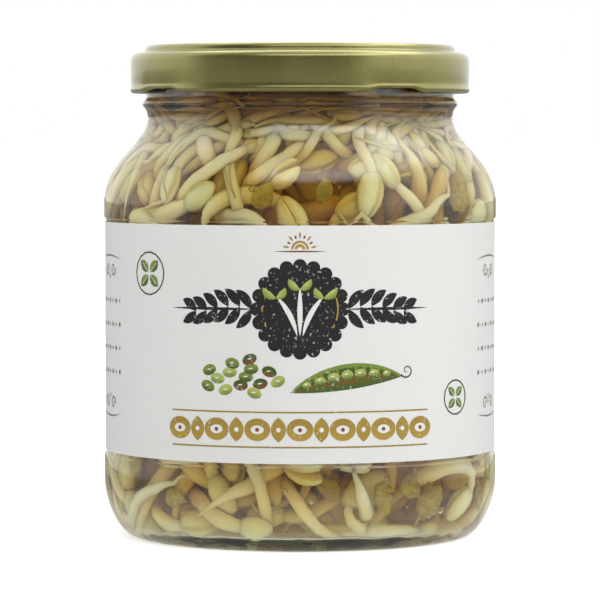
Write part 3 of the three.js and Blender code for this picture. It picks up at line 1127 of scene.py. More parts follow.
    def settle(self) -> Array:
        """Lets the sprouts push each other apart until they lie still.

        Returns:
            The place of every ball, by sprout.
        """
        line = self.start()
        bends, long_bends = (np.linalg.norm(line[:, gap:] - line[:, :-gap], axis=2) for gap in (2, 4))
        flat, radii = line.reshape(-1, 3), self.radii.reshape(-1)
        limit = np.repeat(self.top + self.rng.uniform(-2, 2, self.count), self.balls)
        a = b = np.empty(0, int)
        for step in range(self.rounds):
            if step % self.search_every == 0:
                a, b = self.pairs(flat, radii)
            apart = flat[b] - flat[a]
            size = np.linalg.norm(apart, axis=1).clip(1e-6)
            reach = (radii[a] + radii[b]) * self.squeeze * min(1.0, 0.35 + step / self.firm_after)
            push = np.where(size < reach, 0.45 * (reach - size) / size, 0)[:, None] * apart
            for axis in range(3):
                ahead, back = (np.bincount(ball, push[:, axis], len(flat)) for ball in (b, a))
                flat[:, axis] += ahead - back
            self.keep_lengths(line, 4, long_bends, 0.3)
            self.keep_lengths(line, 2, bends, 0.6)
            for _ in range(2):
                self.keep_lengths(line, 1, self.steps, 1.0)
            self.hold_in(flat, radii, limit)
        return line


UPPER_FROM_Z = 56
LOWER_TO_Z = 22


class Zone(Enum):
    """Where in the jar a sprout lies, with the sides and the lengths that its stem is made in."""

    TOP = ("upper", 8, 18)
    MIDDLE = ("middle", 7, 12)
    BOTTOM = ("lower", 8, 18)

    def __init__(self, label: str, sides: int, rings: int) -> None:
        """Names the zone's values."""
        self.label, self.sides, self.rings = label, sides, rings

    @staticmethod
    def at(height: float) -> "Zone":
        """The zone of a sprout whose middle lies at a height."""
        return Zone.TOP if height > UPPER_FROM_Z else Zone.BOTTOM if height < LOWER_TO_Z else Zone.MIDDLE


@dataclass
class Template:
    """A shape modelled once, for copying: its points in millimetres and its faces."""

    points: Array
    faces: list[tuple[int, ...]]

    @staticmethod
    def take(points: Array | None = None) -> "Template":
        """Turns the active piece, with its points moved where they are given, into a template.

        Args:
            points: The new points in millimetres.

        Returns:
            The template.
        """
        piece = bpy.context.active_object
        if points is not None:
            set_points(piece, points)
        settle_place(piece, "template")
        template = Template(points_of(piece), [tuple(p.vertices) for p in piece.data.polygons])
        bpy.data.objects.remove(piece, do_unlink=True)
        return template


def ball(segments: int, rings: int) -> Array:
    """Models a ball of unit radius as the active piece and gives its points.

    Args:
        segments: Faces round it.
        rings: Faces from its top to its bottom.

    Returns:
        Its points, at a radius of 1.
    """
    deselect()
    bpy.ops.mesh.primitive_uv_sphere_add(segments=segments, ring_count=rings, radius=MM)
    return points_of(bpy.context.active_object)


def stem_template(sides: int, rings: int) -> Template:
    """A straight stem of unit radius and unit length along Z, closed at both ends.

    Args:
        sides: Sides of the stem.
        rings: Lengths that it is made in.

    Returns:
        The template.
    """
    deselect()
    bpy.ops.mesh.primitive_cylinder_add(vertices=sides, radius=MM, depth=MM, location=(0, 0, 0.5 * MM))
    mesh = bpy.context.active_object.data
    with editing(None):
        bpy.ops.mesh.select_mode(type="EDGE")
        bpy.ops.mesh.select_all(action="DESELECT")
    for edge in mesh.edges:
        low, high = (mesh.vertices[v].co.z for v in edge.vertices)
        edge.select = abs(low - high) > 0.5 * MM
    with editing(None):
        bpy.ops.mesh.subdivide(number_cuts=rings - 1)
        bpy.ops.mesh.select_mode(type="VERT")
    return Template.take()


def seed_leaf_template() -> Template:
    """Half of a bean without its coat: domed outside, flat inside, 8 mm long along Z from 0.

    Returns:
        The template.
    """
    ball(12, 8)
    piece = bpy.context.active_object
    with editing():
        bpy.ops.mesh.bisect(plane_co=(0, 0, 0), plane_no=(0, 1, 0), use_fill=True, clear_inner=True)
        bpy.ops.mesh.select_all(action="DESELECT")
    for face in piece.data.polygons:
        face.select = face.normal.y < -0.9
    with editing(None):
        bpy.ops.mesh.inset(thickness=0.16 * MM)
    points = points_of(piece)
    rim = (points[:, 1] < 1e-6) & (np.hypot(points[:, 0], points[:, 2]) > 0.9)
    points[rim, 1] += 0.02
    points[:, 2] = 4.0 * (points[:, 2] + 1)
    blunt = 1 - 0.16 * (points[:, 2] / 8 - 0.45) ** 2 * 4
    points[:, 0] *= 2.35 * blunt
    points[:, 1] *= 2.15 * blunt
    return Template.take(points)


def seed_coat_template() -> Template:
    """A cupped, crinkled half of a seed coat about 7 mm long, open towards -Z.

    Returns:
        The template.
    """
    points = ball(20, 12)
    inner = points[:, 2] < -0.01
    points[inner] *= 0.86
    points[inner, 2] *= -1
    around = np.arctan2(points[:, 1], points[:, 0])
    waves = 0.07 * np.sin(3 * around + 1) + 0.05 * np.sin(7 * around)
    crinkle = 1 + waves * np.hypot(points[:, 0], points[:, 1])
    points *= np.array([3.3, 2.2, 1.3])
    points *= crinkle[:, None]
    points[:, 2] += 0.35 * np.sin(1.4 * points[:, 0]) * np.cos(1.9 * points[:, 1])
    return Template.take(points)


def bubble_template() -> Template:
    """A bubble of unit radius, a little flattened from above.

    Returns:
        The template.
    """
    points = ball(16, 10)
    points[:, 2] *= np.where(points[:, 2] > 0, 0.85, 1.0)
    return Template.take(points)


class MeshPile:
    """Gathers copies of templates, with a tint and a grain for each point, into one piece."""

    def __init__(self) -> None:
        """Starts an empty pile."""
        self.points: list[Array] = []
        self.faces: list[tuple[int, ...]] = []
        self.tints: list[Array] = []
        self.grains: list[Array] = []
        self.size = 0

    def add(
        self,
        points: Array,
        faces: Sequence[tuple[int, ...]],
        tints: Array | None = None,
        grain: Array | None = None,
    ) -> None:
        """Adds one copy.

        Args:
            points: Its points in millimetres.
            faces: Its faces, counted from its own first point.
            tints: Three values for each point, or nothing for noughts.
            grain: Where each point lies in the copy's own grain.
        """
        self.points.append(points)
        self.grains.append(points if grain is None else grain)
        self.faces += [tuple(v + self.size for v in face) for face in faces]
        self.tints.append(np.zeros_like(points) if tints is None else tints)
        self.size += len(points)

    def piece(self, name: str) -> Piece:
        """Makes the piece, with its tints and grains as attributes.

        Args:
            name: Name of the piece.

        Returns:
            The new piece.
        """
        mesh = bpy.data.meshes.new(name)
        mesh.from_pydata((np.concatenate(self.points) * MM).tolist(), [], self.faces)
        mesh.polygons.foreach_set("use_smooth", [True] * len(mesh.polygons))
        piece = bpy.data.objects.new(name, mesh)
        set_values(piece, np.concatenate(self.tints), np.concatenate(self.grains))
        mesh.update()
        bpy.context.scene.collection.objects.link(piece)
        return piece


def smooth_line(balls: Array, count: int) -> Array:
    """A smooth curve through a row of points.

    Args:
        balls: The points.
        count: Number of steps on the curve.

    Returns:
        count + 1 points, evenly spread by the row's own numbers.
    """
    padded = np.concatenate([2 * balls[:1] - balls[1:2], balls, 2 * balls[-1:] - balls[-2:-1]])
    where = np.linspace(0, len(balls) - 1, count + 1).clip(0, len(balls) - 1.0001)
    i = where.astype(int)
    t = (where - i)[:, None]
    p0, p1, p2, p3 = (padded[i + j] for j in range(4))
    return 0.5 * (
        2 * p1 + (p2 - p0) * t + (2 * p0 - 5 * p1 + 4 * p2 - p3) * t**2 + (3 * p1 - p0 - 3 * p2 + p3) * t**3
    )


def carried_frames(line: Array) -> tuple[Array, Array]:
    """Two directions across a curve at each point, carried along it without twist.

    Args:
        line: Points of the curve.

    Returns:
        The two directions, with a row for each point.
    """
    ways = unit(np.gradient(line, axis=0))
    side = unit(np.cross(ways[0], (0.3, 0.5, 0.81)))
    sides = []
    for way in ways:
        side = unit(side - way * side.dot(way))
        sides.append(side)
    return np.array(sides), np.cross(ways, sides)


def wall_at(heights: Array) -> Array:
    """Radius of the inside of the glass at the given heights."""
    return radius_at(hollow_profile(0, 30)[2:], heights)


@dataclass
class SproutBunch:
    """All the sprouts in the jar, with their seed leaves, and the core that they stand out of."""

    packing: SproutPacking = field(default_factory=SproutPacking)
    open_deg: float = 16.0
    swell: tuple[Point, ...] = (
        (0.0, 0.1), (0.08, 0.2), (0.2, 0.4), (0.34, 0.85), (0.5, 1.0), (0.85, 1.05), (1.0, 0.72)
    )
    coats: int = 56
    bubble_count: int = 60
    tries: int = 9000
    block: int = 500
    shade_from: float = 1.5
    shade_over: float = 7.0
    dim_from_z: float = 81.5
    dim_over_z: float = 5.0

    def depth_of(self, points: Array, offsets: Array) -> Array:
        """How much painted shade points get: 0 at the glass, 1 some way in, and more on sides turned inwards
        and high in the neck under the lid.

        Args:
            points: The points.
            offsets: Where each lies from the middle of its own sprout.

        Returns:
            A share from 0 to 1 for each.
        """
        reach = np.hypot(points[:, 0], points[:, 1])
        depth = np.minimum(wall_at(points[:, 2]) - reach, points[:, 2] - SIZES.floor)
        outward = points[:, :2] / reach.clip(1)[:, None]
        facing = (offsets[:, :2] * outward).sum(1) / np.linalg.norm(offsets, axis=1).clip(0.01)
        # Painted shade: more under the lid above the fill, on sides turned away from the glass, and further
        # in from the glass.
        above = np.clip((points[:, 2] - self.dim_from_z) / self.dim_over_z, 0, 1)
        inward = np.clip(0.35 - facing, 0, 1)
        buried = np.clip((depth - self.shade_from) / self.shade_over, 0, 1)
        return (buried * 0.85 + 0.3 * inward + 0.65 * above).clip(0, 1)

    def stem(
        self, pile: MeshPile, template: Template, rings: int, balls: Array, thick: float, tone: float
    ) -> None:
        """Bends a copy of the straight stem along a settled sprout.

        Args:
            pile: Where the copy goes.
            template: The straight stem.
            rings: Lengths that it is made in.
            balls: The sprout's balls, without the last two.
            thick: Radius of the stem.
            tone: The sprout's own tone.
        """
        line = smooth_line(balls, rings)
        first, second = carried_frames(line)
        along = template.points[:, 2]
        ring = np.rint(along * rings).astype(int)
        swell = np.interp(along, *zip(*self.swell))
        width = (thick * swell)[:, None]
        offsets = width * (template.points[:, :1] * first[ring] + template.points[:, 1:2] * second[ring])
        points = line[ring] + offsets
        tints = np.stack([along * 0.9, np.full(len(along), tone), self.depth_of(points, offsets)], -1)
        pile.add(points, template.faces, tints, template.points * (1, 1, 1.6) + 40 * tone)

    def head(self, pile: MeshPile, template: Template, balls: Array, size: float, tone: float) -> None:
        """Sets the two seed leaves at the end of a stem, more or less open.

        Args:
            pile: Where the copies go.
            template: The seed leaf.
            balls: The sprout's balls.
            size: Size of the seed leaves.
            tone: The sprout's own tone.
        """
        rng = self.packing.rng
        way = unit(balls[-1] - balls[-3])
        side = side_of(way, rng)
        up = np.cross(way, side)
        base = balls[-3] - way * 1.6 * size
        opening = math.radians(self.open_deg) * rng.uniform(0, 1) ** 6
        # Painted shade in the seam: the flat inner faces of the seed leaves take the ramp's darker middle
        # colour and not the tip colour.
        inner = 0.4 * (np.abs(template.points[:, 1]) < 0.05)
        for flip in (1, -1):
            local = template.points * size * (1, flip, 1)
            lean = flip * opening / 2
            y = local[:, 1] * math.cos(lean) + local[:, 2] * math.sin(lean)
            z = local[:, 2] * math.cos(lean) - local[:, 1] * math.sin(lean)
            points = base + local[:, :1] * side + (y + 0.03 * flip)[:, None] * up + z[:, None] * way
            shade = self.depth_of(points, points - base - 4 * size * way)
            tints = np.stack([1 - inner, np.full(len(points), tone), shade], -1)
            faces = template.faces if flip > 0 else [face[::-1] for face in template.faces]
            pile.add(points, faces, tints, template.points * 0.35 + 40 * tone)

    def free_spots(self, lines: Array, count: int, clear: float, depth: Pair, top: float) -> Array:
        """Spots near the glass that no sprout fills.

        Args:
            lines: The settled sprouts.
            count: Number of spots.
            clear: Least distance between two of them.
            depth: Nearest and furthest that they lie from the glass.
            top: Greatest height.

        Returns:
            The spots with the most room round them.
        """
        rng, tries = self.packing.rng, self.tries
        z = SIZES.floor + 1.5 + (top - SIZES.floor - 1.5) * rng.uniform(0, 1, tries)
        r = wall_at(z) - rng.uniform(*depth, tries)
        around = rng.uniform(0, 2 * math.pi, tries)
        spots = np.stack([r * np.cos(around), r * np.sin(around), z], 1)
        balls, radii = lines.reshape(-1, 3), self.packing.radii.reshape(-1)
        room = np.empty(tries)
        for begin in range(0, tries, self.block):
            part = slice(begin, begin + self.block)
            apart = (spots[part] ** 2).sum(1)[:, None] + (balls**2).sum(1) - 2 * spots[part] @ balls.T
            room[part] = (np.sqrt(apart.clip(0)) - radii).min(1)
        chosen: list[int] = []
        for i in np.argsort(-room):
            if all(np.linalg.norm(spots[i] - spots[j]) > clear for j in chosen):
                chosen.append(i)
            if len(chosen) == count:
                break
        return spots[chosen]

    def seed_coats(self, lines: Array) -> Piece:
        """Loose seed coats in the gaps by the glass.

        Args:
            lines: The settled sprouts.

        Returns:
            The new piece.
        """
        rng = self.packing.rng
        template = seed_coat_template()
        pile = MeshPile()
        for spot in self.free_spots(lines, self.coats, clear=6.0, depth=(1.8, 6.0), top=80.0):
            outward = np.array([spot[0], spot[1], 0.0]) / np.hypot(spot[0], spot[1])
            way = unit(outward + rng.normal(0, 0.45, 3))
            side = side_of(way, rng)
            basis = np.stack([side, np.cross(way, side), way])
            pile.add(spot + rng.uniform(0.8, 1.15) * template.points @ basis, template.faces)
        return pile.piece("seed_coats")

    def bubbles(self, lines: Array) -> Piece:
        """Small air bubbles caught between the sprouts and the glass.

        Args:
            lines: The settled sprouts.

        Returns:
            The new piece.
        """
        template = bubble_template()
        pile = MeshPile()
        top = SIZES.fill_z - 1.0
        for spot in self.free_spots(lines, self.bubble_count, clear=3.0, depth=(0.8, 2.5), top=top):
            pile.add(spot + self.packing.rng.uniform(0.25, 0.75) * template.points, template.faces)
        return pile.piece("air_bubbles")

    def core(self) -> Piece:
        """The middle of the bunch, lumpy all over, painted in full shade colour.

        Returns:
            The new piece.
        """
        pack = self.packing
        r = pack.core_r - 0.5
        low, high = pack.core_bottom - 5, pack.core_top + 3
        outline = [(0.0, low)] + corner(r - 7, low + 7, 7, -90, 0, 6)
        outline += [(r, high - 4.0), (pack.plug_r - 0.6, high - 1.0), (pack.plug_r, high + 1.5)]
        outline += corner(pack.plug_r - 4, pack.plug_top - 4, 4, 0, 90, 5) + [(0.0, pack.plug_top)]
        core = turn_profile("bunch_core", outline, 48)
        make_active(core)
        with editing():
            bpy.ops.mesh.subdivide(number_cuts=2)
        points = points_of(core)
        waves = np.sin(points[:, 0] * 0.9) * np.sin(points[:, 1] * 0.8 + 1) * np.sin(points[:, 2] * 0.7)
        points *= (1 + 0.05 * waves)[:, None]
        points[:, 2] -= 0.05 * waves * points[:, 2]
        set_points(core, points)
        # Painted shade: the whole core gets full shade in its third tint channel, so it stands for sprouts in
        # shade.
        set_values(core, np.tile((0.5, 0.4, 1.0), (len(points), 1)), 0.6 * points)
        smooth(core, 180)
        return core

    def build(self) -> list[Piece]:
        """Builds and dresses every sprout.

        Returns:
            The pieces of the bunch.
        """
        pack = self.packing
        lines = pack.settle()
        LOG.info("settled %d sprouts", len(lines))
        stem_flesh = FleshFinish("stem_flesh", (0.76, 0.57, 0.20), (1.0, 0.87, 0.60), (0.99, 0.84, 0.48))
        leaf_flesh = FleshFinish("seed_leaf_flesh", (0.62, 0.31, 0.05), (0.97, 0.77, 0.33), (1.0, 0.90, 0.57))
        stem_look, leaf_look = stem_flesh.material(), leaf_flesh.material()
        leaf = seed_leaf_template()
        tones = pack.rng.uniform(0, 1, len(lines))
        zones = [Zone.at(height) for height in lines[:, :, 2].mean(1)]
        pieces = []
        for zone in Zone:
            stems, heads = MeshPile(), MeshPile()
            straight = stem_template(zone.sides, zone.rings)
            for i in [i for i, own in enumerate(zones) if own is zone]:
                self.stem(stems, straight, zone.rings, lines[i, :-2], pack.thick[i], tones[i])
                self.head(heads, leaf, lines[i], pack.head_size[i], tones[i])
            pieces.append((stems.piece(f"{zone.label}_stems"), stem_look))
            pieces.append((heads.piece(f"{zone.label}_seed_leaves"), leaf_look))
        pieces.append((self.core(), stem_look))
        pieces.append((self.seed_coats(lines), SeedCoatFinish().material()))
        for piece, material in pieces:
            finish_piece(piece, "jar", material, ["bean_sprouts"])
        bubbles = finish_piece(self.bubbles(lines), "jar", BubbleFinish().material())
        return [piece for piece, _ in pieces] + [bubbles]


# ---- Label


@dataclass
class WrapLabel:
    """The paper label wrapped round the panel, with its printed design."""

    inner_r: float = 39.5
    paper: float = 0.15
    bottom: float = 17.8
    height: float = 46.2
    bare_deg: float = 20.0
    rows: int = 12
    steps: int = 170

    def sheet(self) -> Piece:
        """The paper itself, a thin strip that leaves the back bare.

        Returns:
            The finished paper.
        """
        outer_r, top = self.inner_r + self.paper, self.bottom + self.height
        climb = [self.height * i / self.rows for i in range(self.rows + 1)]
        rise = [(outer_r, self.bottom + up) for up in climb]
        section = rise + [(self.inner_r, top - up) for up in climb] + [rise[0]]
        paper = turn_profile("paper_label", section, self.steps, 360 - self.bare_deg)
        make_active(paper)
        with editing():
            bpy.ops.mesh.fill_holes(sides=0)
            bpy.ops.mesh.normals_make_consistent(inside=False)
        turn = math.radians(90 + self.bare_deg / 2)
        points = points_of(paper)
        x, y = points[:, 0].copy(), points[:, 1].copy()
        points[:, 0] = x * math.cos(turn) - y * math.sin(turn)
        points[:, 1] = x * math.sin(turn) + y * math.cos(turn)
        set_points(paper, points)
        smooth(paper, 30)
        return finish_piece(paper, "jar", PaperFinish().material(), ["label"])

    def build(self) -> list[Piece]:
        """Builds and dresses the label and its print."""
        return [self.sheet(), LabelPrint(self.inner_r + self.paper, self.bottom).build()]


def strip_template(lengths: int, rows: int) -> Template:
    """A flat strip, 0 to 1 along X and -1 to 1 across on Y.

    Args:
        lengths: Steps along it.
        rows: Steps across it.

    Returns:
        The template.
    """
    deselect()
    bpy.ops.mesh.primitive_grid_add(x_subdivisions=lengths, y_subdivisions=rows, size=2 * MM)
    points = points_of(bpy.context.active_object)
    points[:, 0] = (points[:, 0] + 1) / 2
    return Template.take(points)


def round_from(middle: Point, reach: float, angle: float) -> Point:
    """The point at a distance and an angle in radians from another."""
    return middle[0] + reach * math.cos(angle), middle[1] + reach * math.sin(angle)


class Pen:
    """Draws shapes on the label, in millimetres to the right of its middle and up from its foot."""

    def __init__(self, radius: float, bottom: float) -> None:
        """Readies the strip that every shape is bent from.

        Args:
            radius: Outside radius of the label.
            bottom: Height of the label's foot.
        """
        self.radius, self.bottom = radius, bottom
        self.strip = strip_template(22, 4)
        self.pile = MeshPile()
        self.layer = 0

    def stroke(self, centre: Along, half: Along, ink: Ink, edge: Ink | None = None) -> None:
        """Bends the strip along a line.

        Args:
            centre: Gives the line's points for shares of its length from 0 to 1.
            half: Gives its half width for the same shares.
            ink: Its colour.
            edge: The colour that it turns to at its lower edge.
        """
        share = 0.5 - 0.5 * np.cos(np.pi * self.strip.points[:, 0])
        across = self.strip.points[:, 1]
        way = unit(centre(share + 0.002) - centre(share - 0.002))
        side = np.stack([-way[:, 1], way[:, 0]], 1)
        flat = centre(share) + (across * half(share))[:, None] * side
        angle = FRONT + flat[:, 0] / self.radius
        self.layer += 1
        r = self.radius + 0.012 + 0.00012 * self.layer
        points = np.stack([r * np.cos(angle), r * np.sin(angle), self.bottom + flat[:, 1]], 1)
        first, second = np.array(ink.value), np.array((edge or ink).value)
        toward = np.clip((-side[:, 1] * across + 0.35), 0, 1)[:, None]
        self.pile.add(points, self.strip.faces, first + (second - first) * toward)

    def arc(self, middle: Point, r: float, sweep: Pair, half: float, ink: Ink) -> None:
        """Draws part of a circle, between two angles in degrees.

        Args:
            middle: Middle of the circle.
            r: Its radius.
            sweep: The two angles.
            half: Half width of the line.
            ink: Its colour.
        """
        a0, a1 = (math.radians(a) for a in sweep)

        def centre(share: Array) -> Array:
            """Points of the circle."""
            angle = a0 + (a1 - a0) * share
            return np.stack([middle[0] + r * np.cos(angle), middle[1] + r * np.sin(angle)], 1)

        self.stroke(centre, lambda share: np.full(len(share), half), ink)

    def curl(self, middle: Point, r: float, start: float, turns: float, half: float, ink: Ink) -> None:
        """Draws a spiral that closes in from r, thinning on the way.

        Args:
            middle: Middle of the spiral.
            r: Its radius at the start.
            start: Angle of its start in degrees.
            turns: Turns that it makes, below nought for clockwise.
            half: Half width at its start.
            ink: Its colour.
        """

        def centre(share: Array) -> Array:
            """Points of the spiral.

            Args:
                share: Shares of its length.

            Returns:
                The points.
            """
            angle = math.radians(start) + 2 * math.pi * turns * share
            reach = r * (1 - 0.85 * share)
            return np.stack([middle[0] + reach * np.cos(angle), middle[1] + reach * np.sin(angle)], 1)

        self.stroke(centre, lambda share: half * (1 - 0.6 * share), ink)

    def leaf(
        self,
        start: Point,
        end: Point,
        half: float,
        ink: Ink,
        edge: Ink | None = None,
        bow: float = 0.0,
        round_ends: bool = False,
    ) -> None:
        """Draws a leaf, a bean or a dot between two points.

        Args:
            start: One end.
            end: The other end.
            half: Half width in the middle.
            ink: Its colour.
            edge: The colour of its lower edge.
            bow: How far it bows out to the left.
            round_ends: Whether its ends are round, as a bean's, and not pointed.
        """
        p, q = np.array(start), np.array(end)
        left = np.array([-(q - p)[1], (q - p)[0]]) / np.linalg.norm(q - p)
        power = 0.5 if round_ends else 0.9

        def centre(share: Array) -> Array:
            """Points of the bowed middle line."""
            return p + share[:, None] * (q - p) + (4 * bow * share * (1 - share))[:, None] * left

        def width(share: Array) -> Array:
            """Half widths, nothing at both ends."""
            inside = share.clip(0, 1)
            return half * (4 * inside * (1 - inside)) ** power

        self.stroke(centre, width, ink, edge)

    def line(self, start: Point, end: Point, half: float, ink: Ink) -> None:
        """Draws a straight rule."""
        p, q = np.array(start), np.array(end)
        self.stroke(lambda share: p + share[:, None] * (q - p), lambda share: np.full(len(share), half), ink)

    def dot(self, middle: Point, r: float, ink: Ink) -> None:
        """Draws a filled circle."""
        x, y = middle
        self.leaf((x - r, y), (x + r, y), r, ink, round_ends=True)


@dataclass
class LabelPrint:
    """The design printed on the label: a sprout medallion, sprays, pods, a frieze and side panels."""

    radius: float
    bottom: float

    def medallion(self, pen: Pen, x: float, y: float, r: float) -> None:
        """A dark round field with a scalloped edge and three pale sprouts in it.

        Args:
            pen: The pen.
            x: How far right of the label's middle it is.
            y: How far above the label's foot it is.
            r: Its radius.
        """
        scallops = 20
        for i in range(scallops):
            pen.dot(round_from((x, y), r, 2 * math.pi * i / scallops), 0.16 * r, Ink.CHARCOAL)
        pen.dot((x, y), r, Ink.CHARCOAL)
        pen.arc((x, y), 0.88 * r, (0, 360), 0.14, Ink.GOLD)
        for lean, height in ((-0.55, 0.42), (0.0, 0.62), (0.55, 0.42)):
            foot, top = (x + 0.12 * lean * r, y - 0.62 * r), (x + lean * r, y + (height - 0.12) * r)
            pen.leaf(foot, top, 0.06 * r, Ink.BARE, bow=0.14 * lean * r)
            for side in (-1, 1):
                tip = (top[0] + (0.26 * side + 0.1 * lean) * r, top[1] + 0.2 * r)
                pen.leaf((top[0], top[1] - 0.05 * r), tip, 0.085 * r, Ink.LIME, Ink.POD, bow=-0.05 * side * r)

    def spray(self, pen: Pen, x: float, y: float, side: int) -> None:
        """A dark spray of leaves that runs out sideways from the medallion.

        Args:
            pen: The pen.
            x: How far right of the label's middle it is.
            y: How far above the label's foot it is.
            side: 1 to run right, -1 to run left.
        """
        for i in range(6):
            root = (x + side * 2.35 * i, y + 0.55 * math.sin(i))
            for up in (1, -1):
                tip = (root[0] + side * 3.1, root[1] + up * (3.7 - 0.3 * i))
                pen.leaf(root, tip, 0.95, Ink.CHARCOAL, bow=0.35 * up * side)
        pen.leaf((x - side, y), (x + side * 17.5, y), 0.3, Ink.CHARCOAL)

    def pod(self, pen: Pen, x: float, y: float, length: float, tilt: float) -> None:
        """An open green pod with a row of beans in it.

        Args:
            pen: The pen.
            x: How far right of the label's middle it is.
            y: How far above the label's foot it is.
            length: Its length.
            tilt: Its tilt in radians.
        """
        c, s = math.cos(tilt), math.sin(tilt)
        half, beans = length / 2, 7

        def place(along: float, across: float) -> Point:
            """A point of the tilted pod."""
            return x + along * c - across * s, y + along * s + across * c

        pen.leaf(place(-half, 0), place(half, 0), 2.5, Ink.POD, Ink.GREEN, bow=1.6)
        pen.leaf(place(-0.93 * half, 0.1), place(0.93 * half, 0.1), 1.55, Ink.GREEN, Ink.BROWN, bow=1.7)
        for i in range(beans):
            step = i - (beans - 1) / 2
            along, size = step * 0.235 * half, 1.22 - 0.045 * step**2
            lift = 1.75 * (1 - (along / half) ** 2)
            ends = place(along - size, lift), place(along + size, lift)
            pen.leaf(*ends, 0.95 * size, Ink.LIME, Ink.GREEN, round_ends=True)
            pen.leaf(place(along - 0.5, lift + 0.35), place(along + 0.2, lift + 0.45), 0.16, Ink.BARE)
        pen.curl(place(half + 1.1, 0.9), 1.5, -150, 1.2, 0.2, Ink.GREEN)

    def loose_beans(self, pen: Pen, x: float, y: float, count: int) -> None:
        """A scatter of green beans.

        Args:
            pen: The pen.
            x: How far right of the label's middle it is.
            y: How far above the label's foot it is.
            count: Number of beans.
        """
        golden = 2.39996
        inks = ((Ink.POD, Ink.GREEN), (Ink.LIME, Ink.POD), (Ink.GREEN, Ink.BROWN))
        for i in range(count):
            angle = golden * i
            reach = 1.25 * math.sqrt(i + 0.4)
            cx, cy = x + 1.75 * reach * math.cos(angle), y + 0.85 * reach * math.sin(angle)
            lean = 0.9 * math.sin(3.1 * i)
            dx, dy = 1.45 * math.cos(lean), 1.45 * math.sin(lean)
            pen.leaf((cx - dx, cy - dy), (cx + dx, cy + dy), 1.05, *inks[i % 3], 0.25, True)
            pen.leaf((cx - 0.4 * dx, cy + 0.28), (cx + 0.3 * dx, cy + 0.4), 0.13, Ink.BARE)

    def frieze(self, pen: Pen, y: float, reach: float) -> None:
        """A broad gold row of ovals and lozenges between two rules.

        Args:
            pen: The pen.
            y: How far above the label's foot it is.
            reach: Half its length.
        """
        for up in (-3.4, 3.4):
            for i in range(-4, 4):
                pen.line((i * reach / 4, y + up), ((i + 1) * reach / 4, y + up), 0.16, Ink.OCHRE)
        count = 6
        for i in range(-count, count + 1):
            x = i * 0.93 * reach / count
            if i % 2:
                pen.leaf((x, y - 2.4), (x, y + 2.4), 1.5, Ink.OCHRE, Ink.GOLD)
                pen.dot((x, y), 0.45, Ink.BARE)
            else:
                pen.leaf((x - 2.6, y), (x + 2.6, y), 2.2, Ink.OCHRE, Ink.GOLD, round_ends=True)
                pen.leaf((x - 1.3, y), (x + 1.3, y), 0.85, Ink.BARE, round_ends=True)
                pen.dot((x, y), 0.4, Ink.BROWN)

    def sun(self, pen: Pen, x: float, y: float) -> None:
        """A small half sun with short rays.

        Args:
            pen: The pen.
            x: How far right of the label's middle it is.
            y: How far above the label's foot it is.
        """
        pen.arc((x, y), 1.5, (0, 180), 0.22, Ink.OCHRE)
        pen.arc((x, y), 0.75, (0, 180), 0.3, Ink.GOLD)
        for i in range(9):
            angle = math.radians(10 + 20 * i)
            reach, ink = (2.9, Ink.BROWN) if i % 2 else (3.4, Ink.OCHRE)
            pen.leaf(round_from((x, y), 2.1, angle), round_from((x, y), reach, angle), 0.2, ink)
        pen.leaf((x - 5.2, y - 0.4), (x + 5.2, y - 0.4), 0.16, Ink.BROWN)

    def rosette(self, pen: Pen, x: float, y: float, r: float) -> None:
        """Four green leaves in a thin ring.

        Args:
            pen: The pen.
            x: How far right of the label's middle it is.
            y: How far above the label's foot it is.
            r: Its radius.
        """
        pen.arc((x, y), r, (0, 360), 0.17, Ink.GREEN)
        for i in range(4):
            angle = math.radians(45 + 90 * i)
            start, end, rib = (round_from((x, y), out * r, angle) for out in (0.1, 0.86, 0.7))
            pen.leaf(start, end, 0.24 * r, Ink.POD, Ink.GREEN)
            pen.line(start, rib, 0.06, Ink.BARE)

    def side_panel(self, pen: Pen, x: float, side: int, low: float, high: float) -> None:
        """Curls above and below a column of small lozenges.

        Args:
            pen: The pen.
            x: How far right of the label's middle it is.
            side: 1, or -1 for its mirror image.
            low: Height of the lower curls.
            high: Height of the upper curls.
        """
        for y, up in ((low, 1), (high, -1)):
            pen.curl((x - 2.2 * side, y), 1.5, 0, 1.3 * up, 0.2, Ink.GREY)
            pen.curl((x + 2.2 * side, y), 1.5, 180, -1.3 * up, 0.2, Ink.GREY)
            pen.leaf((x - 6.5, y - 1.9 * up), (x + 6.5, y - 1.9 * up), 0.17, Ink.GREY, bow=-0.7 * up)
            pen.dot((x, y + 1.6 * up), 0.36, Ink.OCHRE)
        rows = 4
        for row in range(rows):
            y = low + (high - low) * (row + 1.35) / (rows + 1.7)
            for i in range(-3, 4):
                half = 0.5 if (i + row) % 2 else 0.32
                pen.leaf((x + 2 * i - half, y), (x + 2 * i + half, y), half, Ink.GREY)

    def border(self, pen: Pen, x: float) -> None:
        """An upright stalk with pairs of leaves.

        Args:
            pen: The pen.
            x: How far right of the label's middle it is.
        """
        for i in range(7):
            root = (x, 8.0 + 4.4 * i)
            for side in (-1, 1):
                pen.leaf(root, (x + 3.4 * side, root[1] + 3.0), 0.75, Ink.OCHRE, Ink.BROWN, bow=-0.4 * side)
        pen.line((x, 6.0), (x, 38.5), 0.14, Ink.BROWN)

